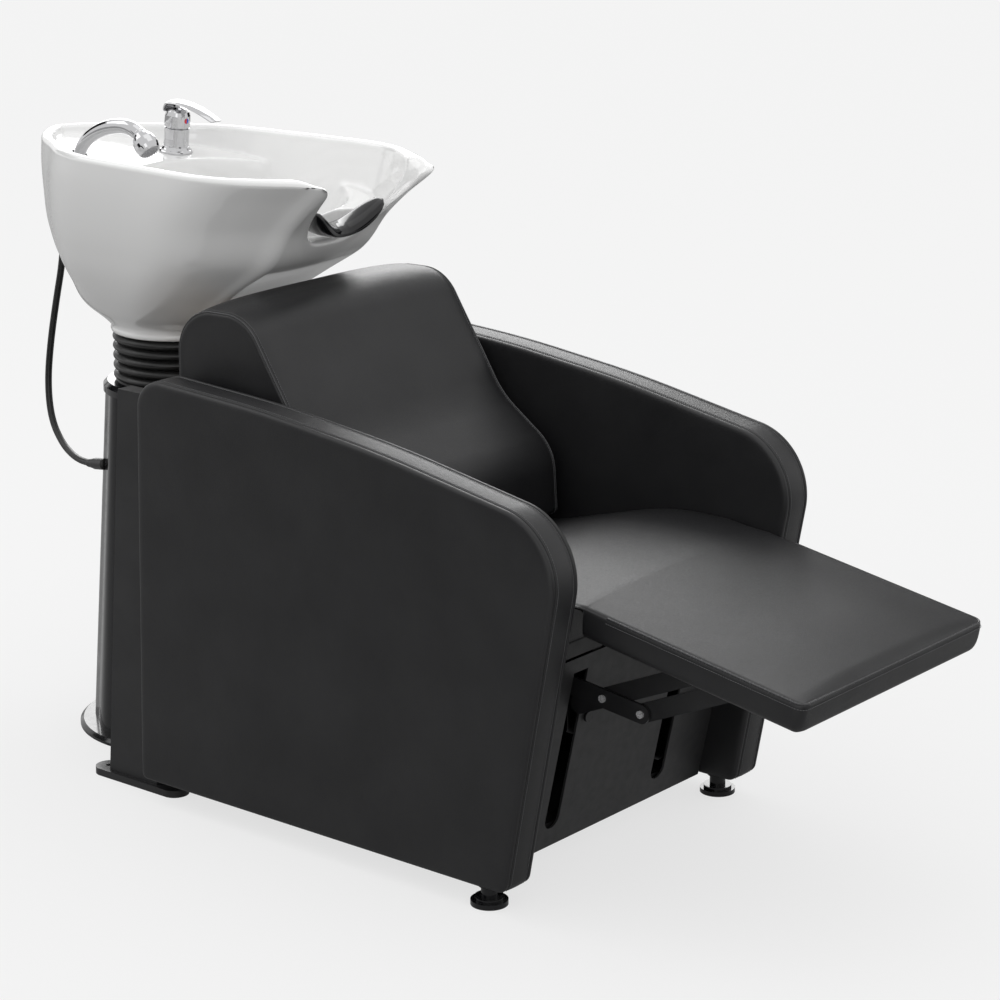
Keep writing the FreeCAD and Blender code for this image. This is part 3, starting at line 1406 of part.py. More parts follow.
solid("waste_hose", hose_outer.cut(cylinder(waste_at + UP * (low - S.overrun), UP,
                                            S.waste_radius - S.waste_wall, high - low + 2 * S.overrun)))

# Mixer tap: flange and body on the deck, a cap that turns, and a lever that lifts
TAP_RIGHT = Vector(1, 0, 0)
TAP_FRONT = Vector(0, -math.cos(deck_lean), -math.sin(deck_lean))


def tap_at(up, ahead=0, aside=0):
    return tap_foot + DECK_UP * up + TAP_FRONT * ahead + TAP_RIGHT * aside


flange_shape = cylinder(tap_at(0), DECK_UP, S.tap_flange_radius, S.tap_flange_thick)
body_top = S.tap_flange_thick + S.tap_body_length
body = cylinder(tap_at(S.tap_flange_thick), DECK_UP, S.tap_radius, S.tap_body_length)
body = body.fuse(cylinder(tap_at(body_top), DECK_UP, S.tap_joint_radius, S.tap_joint_gap))
body = body.fuse(cylinder(tap_at(-S.tap_shank_length), DECK_UP, S.tap_shank_radius,
                          S.tap_shank_length + S.tap_flange_thick))
flange_shape = flange_shape.cut(cylinder(tap_at(-S.overrun), DECK_UP, S.tap_shank_radius,
                                         S.tap_flange_thick + 2 * S.overrun))
solid("tap_flange", flange_shape)
nut = cylinder(tap_at(-S.basin_wall - S.tap_nut_thick), DECK_UP, S.tap_nut_radius, S.tap_nut_thick)
nut = nut.cut(cylinder(tap_at(-S.tap_shank_length - S.overrun), DECK_UP, S.tap_shank_radius,
                       S.tap_shank_length))
solid("tap_body", Part.makeCompound([body.removeSplitter(), nut]))
cap_low = body_top + S.tap_joint_gap + S.running_gap
cap_high = cap_low + S.tap_cap_length
cap = cylinder(tap_at(cap_low), DECK_UP, S.tap_radius, S.tap_cap_length)
axle_up = cap_high + S.lever_lift
axle_back = -S.tap_radius / 2
ear_half = S.tap_radius / 4
cap = cap.fuse(cylinder(tap_at(cap_high, axle_back), DECK_UP, ear_half, S.lever_lift))
cap = cap.fuse(cylinder(tap_at(axle_up, axle_back, -ear_half), TAP_RIGHT, ear_half, 2 * ear_half))
cap = cap.cut(cylinder(tap_at(axle_up, axle_back, -S.tap_radius), TAP_RIGHT,
                       S.lever_axle_radius + S.running_gap, 2 * S.tap_radius))
solid("mixer_cap", cap.removeSplitter())


def lever_shape():
    """A tapering plate above the cap with two cheeks and the axle that it turns on."""
    half, tip = S.lever_width / 2, S.lever_tip_width / 2
    rear, front = axle_back - ear_half - S.lever_thick, S.lever_length + axle_back - ear_half - S.lever_thick
    low = axle_up + ear_half + S.tap_joint_gap
    corners = [tap_at(low, rear, -half), tap_at(low, front - tip, -tip), tap_at(low, front - tip, tip),
               tap_at(low, rear, half)]
    nose = tap_at(low, front)
    wire = Part.Wire([
        Part.LineSegment(corners[0], corners[1]).toShape(),
        Part.Arc(corners[1], nose, corners[2]).toShape(),
        Part.LineSegment(corners[2], corners[3]).toShape(),
        Part.LineSegment(corners[3], corners[0]).toShape(),
    ])
    plate = Part.Face(wire).extrude(DECK_UP * S.lever_thick)
    shapes = [plate]
    for sign in (1, -1):
        inner = ear_half + S.tap_joint_gap
        start = inner if sign > 0 else -inner - S.lever_thick
        cheek = cylinder(tap_at(axle_up, axle_back, start), TAP_RIGHT, ear_half, S.lever_thick)
        rise = Part.makeBox(S.lever_thick, 2 * ear_half, low - axle_up)
        turn = Rotation(TAP_RIGHT, TAP_FRONT * -1, DECK_UP, "XYZ")
        rise.Placement = Placement(tap_at(axle_up, axle_back + ear_half, start), turn)
        shapes += [cheek, rise]
    span = ear_half + S.tap_joint_gap + S.lever_thick
    shapes.append(cylinder(tap_at(axle_up, axle_back, -span), TAP_RIGHT, S.lever_axle_radius, 2 * span))
    return join(shapes)


solid("mixer_lever", lever_shape())
marker_at = tap_at(cap_low + S.tap_cap_length / 2, S.tap_radius)
solid("temperature_marker", cylinder(marker_at, TAP_FRONT, S.marker_radius, S.marker_thick))

# Hand shower: a socket on the deck, a bent handle that lifts out of it, and a head with a spray face


def shower_at(up, ahead=0):
    return shower_foot + DECK_UP * up + TAP_FRONT * ahead


socket = cylinder(shower_at(0), DECK_UP, S.socket_radius, S.socket_height)
socket = socket.cut(cylinder(shower_at(-S.overrun), DECK_UP, S.shower_radius + S.running_gap,
                             S.socket_height + 2 * S.overrun))
solid("shower_socket", socket)
route = [shower_at(-S.shower_plug_length), shower_at(S.shower_rise), shower_at(
    S.shower_rise + S.shower_dip, S.shower_reach)]
before = (route[0] - route[1]).normalize()
after = (route[2] - route[1]).normalize()
half_turn = before.getAngle(after) / 2
reach = S.shower_bend / math.tan(half_turn)
start, end = route[1] + before * reach, route[1] + after * reach
inward = (before + after).normalize()
middle = route[1] + inward * (S.shower_bend / math.sin(half_turn) - S.shower_bend)
stem_wire = Part.Wire([
    Part.LineSegment(route[0], start).toShape(),
    Part.Arc(start, middle, end).toShape(),
    Part.LineSegment(end, route[2]).toShape(),
])
stem_face = Part.Wire([Part.Circle(route[0], DECK_UP, S.shower_radius).toShape()])
handle = stem_wire.makePipeShell([stem_face], True, False)
solid("shower_handle", handle)
spray_way = (after * 2 - UP).normalize()
head_start = route[2]
head_body = Part.makeCone(S.shower_radius, S.shower_head_radius, S.shower_head_length, head_start, after)
solid("shower_head", head_body)
solid("spray_face", cylinder(head_start + after * S.shower_head_length, after, S.spray_radius, S.spray_thick))

doc.recompute()
os.makedirs("parts", exist_ok=True)
for item in doc.Objects:
    if "Invalid" in item.State or "Error" in item.State:
        raise RuntimeError("%s did not compute: %s" % (item.Name, item.State))
for item in PARTS:
    if item.Shape.isNull() or not item.Shape.isValid() or not item.Shape.Solids:
        raise RuntimeError("%s has no valid shape" % item.Label)
for item in PARTS:
    item.Shape.exportStep("parts/%s.step" % item.Label)
print(len(PARTS), "sub-parts")
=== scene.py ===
import bpy
import math
import numpy as np
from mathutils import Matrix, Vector


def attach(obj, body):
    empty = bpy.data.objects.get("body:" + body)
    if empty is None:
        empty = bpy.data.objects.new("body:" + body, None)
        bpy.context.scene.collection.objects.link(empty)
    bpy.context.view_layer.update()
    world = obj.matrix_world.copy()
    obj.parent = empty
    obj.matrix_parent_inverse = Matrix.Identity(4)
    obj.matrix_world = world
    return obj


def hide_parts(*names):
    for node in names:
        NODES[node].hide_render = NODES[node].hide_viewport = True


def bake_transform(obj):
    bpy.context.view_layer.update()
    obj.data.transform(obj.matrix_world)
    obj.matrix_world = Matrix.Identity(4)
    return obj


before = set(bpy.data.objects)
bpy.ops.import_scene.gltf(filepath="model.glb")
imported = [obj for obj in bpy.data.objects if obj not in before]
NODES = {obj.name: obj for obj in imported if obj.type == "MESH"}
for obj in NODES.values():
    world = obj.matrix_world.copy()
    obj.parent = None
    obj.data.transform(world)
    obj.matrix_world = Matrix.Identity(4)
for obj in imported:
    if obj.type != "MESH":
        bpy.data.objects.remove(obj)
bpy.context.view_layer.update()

MM = 0.001

# Camera at the photograph's viewing angle
camera_data = bpy.data.cameras.new("camera")
camera_data.lens = 109.58
camera_data.sensor_width = 36.0
camera_data.clip_end = 50
camera = bpy.data.objects.new("camera", camera_data)
bpy.context.scene.collection.objects.link(camera)
camera.location = (-3.581, -3.617, 1.849)
aim = Vector((0.037, -0.6767, 0.5125)) - camera.location
camera.rotation_euler = aim.to_track_quat("-Z", "Y").to_euler()
bpy.context.scene.camera = camera
bpy.context.scene.view_settings.view_transform = "Standard"


# Mesh helpers
def mesh_object(name, verts, faces):
    mesh = bpy.data.meshes.new(name)
    corners = [tuple(float(c) for c in v) for v in verts]
    mesh.from_pydata(corners, [], [tuple(int(i) for i in f) for f in faces])
    mesh.validate()
    mesh.shade_smooth()
    obj = bpy.data.objects.new(name, mesh)
    bpy.context.scene.collection.objects.link(obj)
    return obj


def skin_data(rings, start_cap=True, end_cap=True):
    """Quads between closed rings of the same number of points, with a fan over each end."""
    rings = np.asarray(rings, float)
    n, m = rings.shape[:2]
    verts = list(rings.reshape(-1, 3))
    faces = []
    for i in range(n - 1):
        for j in range(m):
            k = (j + 1) % m
            faces.append((i * m + j, i * m + k, (i + 1) * m + k, (i + 1) * m + j))
    if start_cap:
        verts.append(rings[0].mean(0))
        c = len(verts) - 1
        faces += [(c, (j + 1) % m, j) for j in range(m)]
    if end_cap:
        verts.append(rings[-1].mean(0))
        c = len(verts) - 1
        base = (n - 1) * m
        faces += [(c, base + j, base + (j + 1) % m) for j in range(m)]
    return verts, faces


def skin(name, rings, start_cap=True, end_cap=True):
    return mesh_object(name, *skin_data(rings, start_cap, end_cap))


def merged(name, parts):
    verts, faces = [], []
    for v, f in parts:
        base = len(verts)
        verts += list(v)
        faces += [tuple(i + base for i in face) for face in f]
    return mesh_object(name, verts, faces)


def rounded(points, radii, step=0.004, closed=True):
    """A polygon in 2D with round corners, as points at about even steps."""
    pts = [np.array(p, float) for p in points]
    n = len(pts)
    out = []
    for i in range(n):
        p, r = pts[i], radii[i]
        if r <= 0 or (not closed and i in (0, n - 1)):
            out.append(p)
            continue
        a, b = pts[i - 1] - p, pts[(i + 1) % n] - p
        la, lb = np.linalg.norm(a), np.linalg.norm(b)
        a, b = a / la, b / lb
        turn = math.pi - math.acos(max(-1, min(1, float(a @ b))))
        reach = min(r * math.tan(turn / 2), la * 0.499, lb * 0.499)
        r = reach / math.tan(turn / 2)
        middle = p + (a + b) / np.linalg.norm(a + b) * (r / math.cos(turn / 2))
        first, final = p + a * reach, p + b * reach
        u, v = first - middle, final - middle
        count = max(3, int(turn * r / step) + 2)
        for k in range(count + 1):
            t = k / count
            w = (math.sin((1 - t) * turn) * u + math.sin(t * turn) * v) / math.sin(turn)
            out.append(middle + w)
    dense = []
    m = len(out)
    for i in range(m if closed else m - 1):
        p, q = out[i], out[(i + 1) % m]
        gap = np.linalg.norm(q - p)
        if gap < 1e-7:
            continue
        parts = max(1, int(gap / step + 0.5))
        dense += [p + (q - p) * k / parts for k in range(parts)]
    if not closed:
        dense.append(out[-1])
    return np.array(dense)


def resample(points, count, closed=True):
    pts = np.asarray(points, float)
    if closed:
        pts = np.vstack([pts, pts[:1]])
    run = np.concatenate([[0], np.cumsum(np.linalg.norm(np.diff(pts, axis=0), axis=1))])
    at = np.linspace(0, run[-1], count + 1)[:-1] if closed else np.linspace(0, run[-1], count)
    return np.stack([np.interp(at, run, pts[:, k]) for k in range(pts.shape[1])], 1)


def outward(loop):
    """Unit normals in the plane of a closed 2D loop, pointing out."""
    d = np.roll(loop, -1, 0) - np.roll(loop, 1, 0)
    n = np.stack([d[:, 1], -d[:, 0]], 1)
    n /= np.linalg.norm(n, axis=1)[:, None]
    area = np.sum(loop[:, 0] * np.roll(loop[:, 1], -1) - np.roll(loop[:, 0], -1) * loop[:, 1])
    return n if area > 0 else -n


def smooth_through(points, count):
    """An open Catmull-Rom curve through points."""
    p = np.asarray(points, float)
    n = len(p)
    per = max(2, int(count / (n - 1)))
    out = []
    for i in range(n - 1):
        a, b, c, d = p[max(i - 1, 0)], p[i], p[i + 1], p[min(i + 2, n - 1)]
        for k in range(per):
            t = k / per
            out.append(0.5 * ((2 * b) + (c - a) * t + (2 * a - 5 * b + 4 * c - d) * t * t
                              + (3 * b - a - 3 * c + d) * t ** 3))
    out.append(p[-1])
    return np.array(out)


def frame_of(axis):
    """Two directions square to an axis, and the axis itself, each of unit length."""
    w = np.array(axis, float)
    w /= np.linalg.norm(w)
    h = np.array((0, 0, 1), float)
    if abs(h @ w) > 0.95:
        h = np.array((1.0, 0, 0))
    u = np.cross(h, w)
    u /= np.linalg.norm(u)
    return u, np.cross(w, u), w


def lathe_data(profile, foot, axis, segments=64, soft=0.0, caps=True):
    """A turned shape: the profile holds pairs of radius and height along the axis, in mm."""
    prof = np.array(profile, float) * MM
    if soft:
        prof = rounded(prof, [soft * MM] * len(prof), step=max(soft * MM / 2, 0.0004), closed=False)
    u, v, w = frame_of(axis)
    foot = np.array(foot, float)
    turn = np.linspace(0, 2 * math.pi, segments, endpoint=False)
    ring = np.outer(np.cos(turn), u) + np.outer(np.sin(turn), v)
    rings = [foot + w * h + ring * max(r, 1e-6) for r, h in prof]
    return skin_data(rings, caps, caps)


def lathe(name, profile, foot, axis, segments=64, soft=0.0, caps=True):
    return mesh_object(name, *lathe_data(profile, foot, axis, segments, soft, caps))


def sweep_data(path, radii, segments=16, caps=True):
    """A round tube along a path, with frames that don't twist."""
    p = np.asarray(path, float)
    r = np.broadcast_to(np.asarray(radii, float), (len(p),))
    t = np.gradient(p, axis=0)
    t /= np.linalg.norm(t, axis=1)[:, None]
    u = np.cross(t[0], (0.31, 0.17, 0.93))
    u /= np.linalg.norm(u)
    rings = []
    turn = np.linspace(0, 2 * math.pi, segments, endpoint=False)
    for i in range(len(p)):
        u = u - t[i] * (u @ t[i])
        u /= np.linalg.norm(u)
        v = np.cross(t[i], u)
        rings.append(p[i] + r[i] * (np.outer(np.cos(turn), u) + np.outer(np.sin(turn), v)))
    return skin_data(rings, caps, caps)


STITCH_LIFT = 0.35


def stitch_data(path, normals, pitch, length, thick, closed=True):
    """Short threads lying along a path on a surface, with sizes in mm."""
    p = np.asarray(path, float)
    q = np.asarray(normals, float)
    if closed:
        p, q = np.vstack([p, p[:1]]), np.vstack([q, q[:1]])
    run = np.concatenate([[0], np.cumsum(np.linalg.norm(np.diff(p, axis=0), axis=1))])
    count = int(run[-1] / (pitch * MM))
    verts, faces = [], []
    turn = np.linspace(0, 2 * math.pi, 6, endpoint=False)
    for i in range(count):
        s = (i + 0.5) * run[-1] / count
        ends = []
        for ds in (-length / 2, -length / 3, length / 3, length / 2):
            x = min(max(s + ds * MM, 0), run[-1])
            ends.append(np.array([np.interp(x, run, p[:, k]) for k in range(3)]))
        n = np.array([np.interp(s, run, q[:, k]) for k in range(3)])
        n /= np.linalg.norm(n)
        way = ends[3] - ends[0]
        way /= np.linalg.norm(way)
        side = np.cross(way, n)
        base = len(verts)
        for e, r in zip(ends, (0.35, 1.0, 1.0, 0.35)):
            lift = n * (STITCH_LIFT * MM * (1 if r > 0.5 else -0.6))
            for a in turn:
                verts.append(e + lift + (side * math.cos(a) + n * math.sin(a)) * thick * MM * r)
        for k in range(3):
            for j in range(6):
                faces.append((base + k * 6 + j, base + k * 6 + (j + 1) % 6,
                              base + (k + 1) * 6 + (j + 1) % 6, base + (k + 1) * 6 + j))
        faces.append(tuple(base + j for j in range(5, -1, -1)))
        faces.append(tuple(base + 18 + j for j in range(6)))
    return verts, faces


# Materials
def material(name, color, rough, metallic=0.0, coat=0.0, coat_rough=0.03, specular=0.5):
    mat = bpy.data.materials.new(name)
    mat.use_nodes = True
    shader = mat.node_tree.nodes["Principled BSDF"]
    shader.inputs["Base Color"].default_value = (*color, 1)
    shader.inputs["Roughness"].default_value = rough
    shader.inputs["Metallic"].default_value = metallic
    shader.inputs["Coat Weight"].default_value = coat
    shader.inputs["Coat Roughness"].default_value = coat_rough
    shader.inputs["IOR"].default_value = 1.5
    shader.inputs["Specular IOR Level"].default_value = specular
    return mat


def tex(mat, kind, scale, detail=2.0, rough=0.5, stretch=(1, 1, 1), feature=None):
    tree = mat.node_tree
    where = tree.nodes.new("ShaderNodeTexCoord")
    mapping = tree.nodes.new("ShaderNodeMapping")
    mapping.inputs["Scale"].default_value = stretch
    tree.links.new(where.outputs["Object"], mapping.inputs["Vector"])
    node = tree.nodes.new(kind)
    node.inputs["Scale"].default_value = scale
    if kind == "ShaderNodeTexNoise":
        node.inputs["Detail"].default_value = detail
        node.inputs["Roughness"].default_value = rough
    if feature:
        node.feature = feature
    tree.links.new(mapping.outputs["Vector"], node.inputs["Vector"])
    return node


def noise(mat, scale, detail=2.0, rough=0.5, stretch=(1, 1, 1)):
    return tex(mat, "ShaderNodeTexNoise", scale, detail, rough, stretch).outputs["Fac"]


def ramp(mat, source, low, high, start=0.3, stop=0.7):
    tree = mat.node_tree
    node = tree.nodes.new("ShaderNodeMapRange")
    node.inputs["From Min"].default_value = start
    node.inputs["From Max"].default_value = stop
    node.inputs["To Min"].default_value = low
    node.inputs["To Max"].default_value = high
    tree.links.new(source, node.inputs["Value"])
    return node.outputs["Result"]


def tint(mat, source, dark, light, start=0.3, stop=0.7):
    tree = mat.node_tree
    node = tree.nodes.new("ShaderNodeValToRGB")
    node.color_ramp.elements[0].position = start
    node.color_ramp.elements[0].color = (*dark, 1)
    node.color_ramp.elements[1].position = stop
    node.color_ramp.elements[1].color = (*light, 1)
    tree.links.new(source, node.inputs["Fac"])
    tree.links.new(node.outputs["Color"], tree.nodes["Principled BSDF"].inputs["Base Color"])


def bumps(mat, *layers):
    """Each layer is a height output, a strength and a distance in metres."""
    tree = mat.node_tree
    before = None
    for source, strength, distance in layers:
        node = tree.nodes.new("ShaderNodeBump")
        node.inputs["Strength"].default_value = strength
        node.inputs["Distance"].default_value = distance
        tree.links.new(source, node.inputs["Height"])
        if before:
            tree.links.new(before.outputs["Normal"], node.inputs["Normal"])
        before = node
    tree.links.new(before.outputs["Normal"], tree.nodes["Principled BSDF"].inputs["Normal"])


def roughen(mat, source):
    mat.node_tree.links.new(source, mat.node_tree.nodes["Principled BSDF"].inputs["Roughness"])


def grain(mat, rough, bump):
    """Uneven roughness and fine bumps: for each a scale and a detail, then its two values."""
    scale, detail, low, high = rough
    roughen(mat, ramp(mat, noise(mat, scale, detail), low, high))
    scale, detail, strength, distance = bump
    bumps(mat, (noise(mat, scale, detail), strength, distance))


def leather_material(name, dark, light, low, high):
    mat = material(name, light, 0.4, specular=0.45)
    cloud = noise(mat, 9, 3)
    tint(mat, cloud, dark, light)
    pebble = tex(mat, "ShaderNodeTexVoronoi", 620, feature="DISTANCE_TO_EDGE").outputs["Distance"]
    pebble = ramp(mat, pebble, 0, 1, 0.0, 0.25)
    fine = noise(mat, 320, 3, 0.6)
    soft = noise(mat, 26, 2)
    roughen(mat, ramp(mat, fine, low, high))
    bumps(mat, (soft, 0.35, 0.0012), (fine, 0.30, 0.0004), (pebble, 0.30, 0.00025))
    return mat


leather = leather_material("black_leather", (0.010, 0.010, 0.011), (0.016, 0.016, 0.017), 0.36, 0.46)
leather_band = leather_material("black_leather_band", (0.013, 0.013, 0.014), (0.020, 0.020, 0.021),
                                0.38, 0.48)
thread = material("black_thread", (0.13, 0.13, 0.135), 0.5)
bumps(thread, (tex(thread, "ShaderNodeTexWave", 900).outputs["Fac"], 0.4, 0.0002))
piping = leather_material("black_piping", (0.035, 0.035, 0.037), (0.05, 0.05, 0.052), 0.22, 0.30)

ceramic = material("white_ceramic", (0.83, 0.83, 0.825), 0.12, coat=0.6, coat_rough=0.02)
grain(ceramic, (40, 2, 0.08, 0.16), (14, 2, 0.12, 0.0012))

chrome = material("polished_chrome", (0.58, 0.58, 0.59), 0.06, metallic=1.0)
grain(chrome, (90, 3, 0.035, 0.09), (60, 2, 0.05, 0.0003))

gloss_black = material("gloss_black", (0.006, 0.006, 0.007), 0.16, coat=0.25, coat_rough=0.05, specular=0.35)
grain(gloss_black, (70, 3, 0.10, 0.20), (140, 2, 0.08, 0.0004))

black_steel = material("black_steel", (0.017, 0.017, 0.018), 0.38)
tint(black_steel, noise(black_steel, 12, 3), (0.014, 0.014, 0.015), (0.022, 0.022, 0.023))
grain(black_steel, (50, 3, 0.33, 0.45), (900, 2, 0.18, 0.0002))

panel_paint = material("panel_paint", (0.032, 0.032, 0.033), 0.48)
tint(panel_paint, noise(panel_paint, 8, 3), (0.029, 0.029, 0.030), (0.037, 0.037, 0.038))
grain(panel_paint, (60, 3, 0.42, 0.54), (1100, 2, 0.22, 0.0002))

bright_steel = material("bright_steel", (0.72, 0.72, 0.73), 0.35, metallic=0.45)
roughen(bright_steel, ramp(bright_steel, noise(bright_steel, 500, 3), 0.2, 0.38))
bumps(bright_steel, (noise(bright_steel, 800, 2, stretch=(1, 6, 1)), 0.15, 0.0001))

rubber = material("black_rubber", (0.013, 0.013, 0.013), 0.42)
grain(rubber, (120, 3, 0.30, 0.48), (260, 3, 0.2, 0.0004))

grey_plastic = material("grey_plastic", (0.30, 0.30, 0.31), 0.4)
tint(grey_plastic, noise(grey_plastic, 30, 3), (0.26, 0.26, 0.27), (0.33, 0.33, 0.34))
bumps(grey_plastic, (noise(grey_plastic, 400, 2), 0.15, 0.0003))

wood = material("core_wood", (0.33, 0.22, 0.12), 0.6)
tint(wood, noise(wood, 18, 5, 0.6, stretch=(1, 9, 9)), (0.25, 0.16, 0.085), (0.42, 0.30, 0.18))
bumps(wood, (noise(wood, 60, 4, 0.6, stretch=(1, 9, 9)), 0.3, 0.0006))

# Dark cloth: the real cover under the boards, and also the colour of the painted-shade sheet and strip under
# the seat
dust_cloth_and_painted_shade = material("dust_cloth_and_painted_shade", (0.020, 0.020, 0.021), 0.8)
bumps(dust_cloth_and_painted_shade, (tex(dust_cloth_and_painted_shade, "ShaderNodeTexVoronoi", 500).outputs["Distance"], 0.5, 0.0005))

red_dot = material("marker_red", (0.62, 0.02, 0.03), 0.25, coat=0.5)
bumps(red_dot, (noise(red_dot, 300, 2), 0.1, 0.0002))
blue_dot = material("marker_blue", (0.03, 0.10, 0.55), 0.25, coat=0.5)
bumps(blue_dot, (noise(blue_dot, 300, 2), 0.1, 0.0002))


def paint(obj, mat):
    obj.data.materials.clear()
    obj.data.materials.append(mat)
    return obj


def place(obj, mat, body, stands_for=()):
    paint(obj, mat)
    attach(obj, body)
    if stands_for:
        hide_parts(*stands_for)
    return obj


# Shower hose: out of the basin's underside, down in a bend and into the column from behind
HOSE = ((-5, 268, 834), (-7, 272, 786), (-14, 284, 718), (-22, 295, 640), (-30, 298, 568),
        (-41, 281, 508), (-54, 243, 473), (-67, 199, 457), (-78, 156, 455), (-86, 122, 461))
curve = bpy.data.curves.new("hose_line", "CURVE")
curve.dimensions = "3D"
line = curve.splines.new("NURBS")
line.points.add(len(HOSE) - 1)
for point, spot in zip(line.points, HOSE):
    point.co = (spot[0] * MM, spot[1] * MM, spot[2] * MM, 1)
line.order_u = 3
line.use_endpoint_u = True
line.resolution_u = 14
hose = bpy.data.objects.new("hose_line", curve)
bpy.context.scene.collection.objects.link(hose)
bpy.context.view_layer.update()
plain = bpy.data.meshes.new_from_object(hose)
curve.bevel_depth = 6 * MM
curve.bevel_resolution = 6
hose.data.materials.append(rubber)
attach(hose, "frame")
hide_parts("shower_hose")

# Tapered reliefs at both ends of the hose
start_way = np.array(HOSE[0], float) - np.array(HOSE[1], float)
end_way = np.array(HOSE[-1], float) - np.array(HOSE[-2], float)
relief = [(6.4, -26), (7.0, -24), (6.9, -20), (7.5, -18.5), (7.4, -14.5), (8.1, -13), (8.0, -9), (8.8, -7.5),
          (8.9, -3), (10, -1), (10, 30)]
gland = lathe("hose_gland_taper", relief, np.array(HOSE[0]) * MM, start_way, 40, 0.5)
place(gland, rubber, "basin", ("hose_gland",))
grommet = lathe("hose_grommet_taper", relief, np.array(HOSE[-1]) * MM, end_way, 40, 0.5)
place(grommet, rubber, "frame", ("hose_grommet",))

# Basin: the outline at a height, from the same shares as the model
RIM = ((0.0, 0.0), (0.0, 0.3), (0.0, 0.54), (0.055, 0.65), (0.132, 0.82), (0.209, 0.95), (0.3, 1.0),
       (0.44, 0.97), (0.59, 0.93), (0.67, 0.89), (0.747, 0.79), (0.823, 0.613), (0.9, 0.437),
       (0.965, 0.22), (1.0, 0.0))
OUTER = ((0.0, 0.493, 0.77, 0.486, 1.0), (0.05, 0.489, 0.782, 0.5, 1.0), (0.14, 0.42, 0.87, 0.6, 0.6),
         (0.27, 0.35, 0.915, 0.73, 0.25), (0.385, 0.285, 0.955, 0.82, 0.08), (0.5, 0.215, 0.98, 0.885, 0.0),
         (0.72, 0.14, 0.994, 0.96, 0.0), (0.87, 0.07, 1.0, 0.99, 0.0), (1.0, 0.0, 1.0, 1.0, 0.0))
HOLLOW = ((0.0, 0.38, 0.66, 0.44), (0.1, 0.34, 0.667, 0.62), (0.35, 0.27, 0.671, 0.77),
          (0.7, 0.21, 0.675, 0.88), (1.05, 0.19, 0.68, 0.93))
LENGTH, REAR, HALF, LOW, TALL = 781.0, 290.0, 222.0, 703.0, 321.0
FRONT = REAR - LENGTH
TOP = LOW + TALL


def table(shares, x):
    """Smooth interpolation of rows of shares by their first entry."""
    rows = np.array(shares, float)
    xs = rows[:, 0]
    x = np.clip(x, xs[0], xs[-1])
    slopes = np.gradient(rows[:, 1:], xs, axis=0)
    i = np.clip(np.searchsorted(xs, x, side="right") - 1, 0, len(xs) - 2)
    h = xs[i + 1] - xs[i]
    t = ((x - xs[i]) / h)[..., None]
    a, b = rows[i, 1:], rows[i + 1, 1:]
    m0, m1 = slopes[i] * h[..., None], slopes[i + 1] * h[..., None]
    return ((2 * t ** 3 - 3 * t ** 2 + 1) * a + (t ** 3 - 2 * t ** 2 + t) * m0
            + (-2 * t ** 3 + 3 * t ** 2) * b + (t ** 3 - t ** 2) * m1)


HALF_POINTS = 200
half_line = smooth_through([(w, a) for a, w in RIM], 14 * 24)
half_line = resample(half_line, HALF_POINTS, closed=False)
loop_wide = np.concatenate([half_line[:, 0], -half_line[-2:0:-1, 0]])
loop_along = np.concatenate([half_line[:, 1], half_line[-2:0:-1, 1]])
loop_wide = np.clip(loop_wide, -1, 1)
loop_along = np.clip(loop_along, 0, 1)
# The turn of each point round the outline: 0 at the front, half a turn at the rear and back to 0
half_turn = np.linspace(0, math.pi, HALF_POINTS)
loop_turn = np.concatenate([half_turn, np.linspace(-math.pi, 0, HALF_POINTS)[1:-1]])


def outer_at(z):
    """Points of the outer wall at heights given for each point of the outline, in mm."""
    up = np.clip((z - LOW) / TALL, 0, 1)
    front, rear, half, rnd = np.moveaxis(table(OUTER, up), -1, 0)
    rnd = np.clip(rnd, 0, 1)
    y0, y1 = FRONT + front * LENGTH, FRONT + rear * LENGTH
    circle_y = (y0 + y1) / 2 - (y1 - y0) / 2 * np.cos(loop_turn)
    circle_x = half * HALF * np.sin(loop_turn)
    y = (y0 + loop_along * (y1 - y0)) * (1 - rnd) + circle_y * rnd
    x = half * HALF * loop_wide * (1 - rnd) + circle_x * rnd
    return np.stack([x, y, z * np.ones_like(x)], 1)


# The top edge dips between the horns
NOTCH_HALF = 0.62
NOTCH_DROP = 121
RIM_WIDTH = 20
NOTCH_RIM_EXTRA = 30
HORN_RIM_EXTRA = 9
across = np.clip(np.abs(loop_wide) / NOTCH_HALF, 0, 1) ** 2
in_front = (loop_along < 0.30) & (across < 1)
dip = np.where(in_front, 1 - across ** 2 * (3 - 2 * across), 0)
edge_z = TOP - 1.0 - NOTCH_DROP * dip
edge = outer_at(edge_z - 7)
at_horn = np.exp(-((loop_along - 0.03) / 0.12) ** 2) * (dip < 0.75)
rim_width = RIM_WIDTH + NOTCH_RIM_EXTRA * np.clip(dip * 1.15, 0, 1) ** 1.2 + HORN_RIM_EXTRA * at_horn
LIP = 9.5


def smin(a, b, k):
    """The lower of two heights, blended over k."""
    h = np.clip(0.5 + 0.5 * (b - a) / k, 0, 1)
    return b * (1 - h) + a * h - k * h * (1 - h)


def smax(a, b, k):
    return -smin(-a, -b, k)


BOWL_FLOOR = 800.0


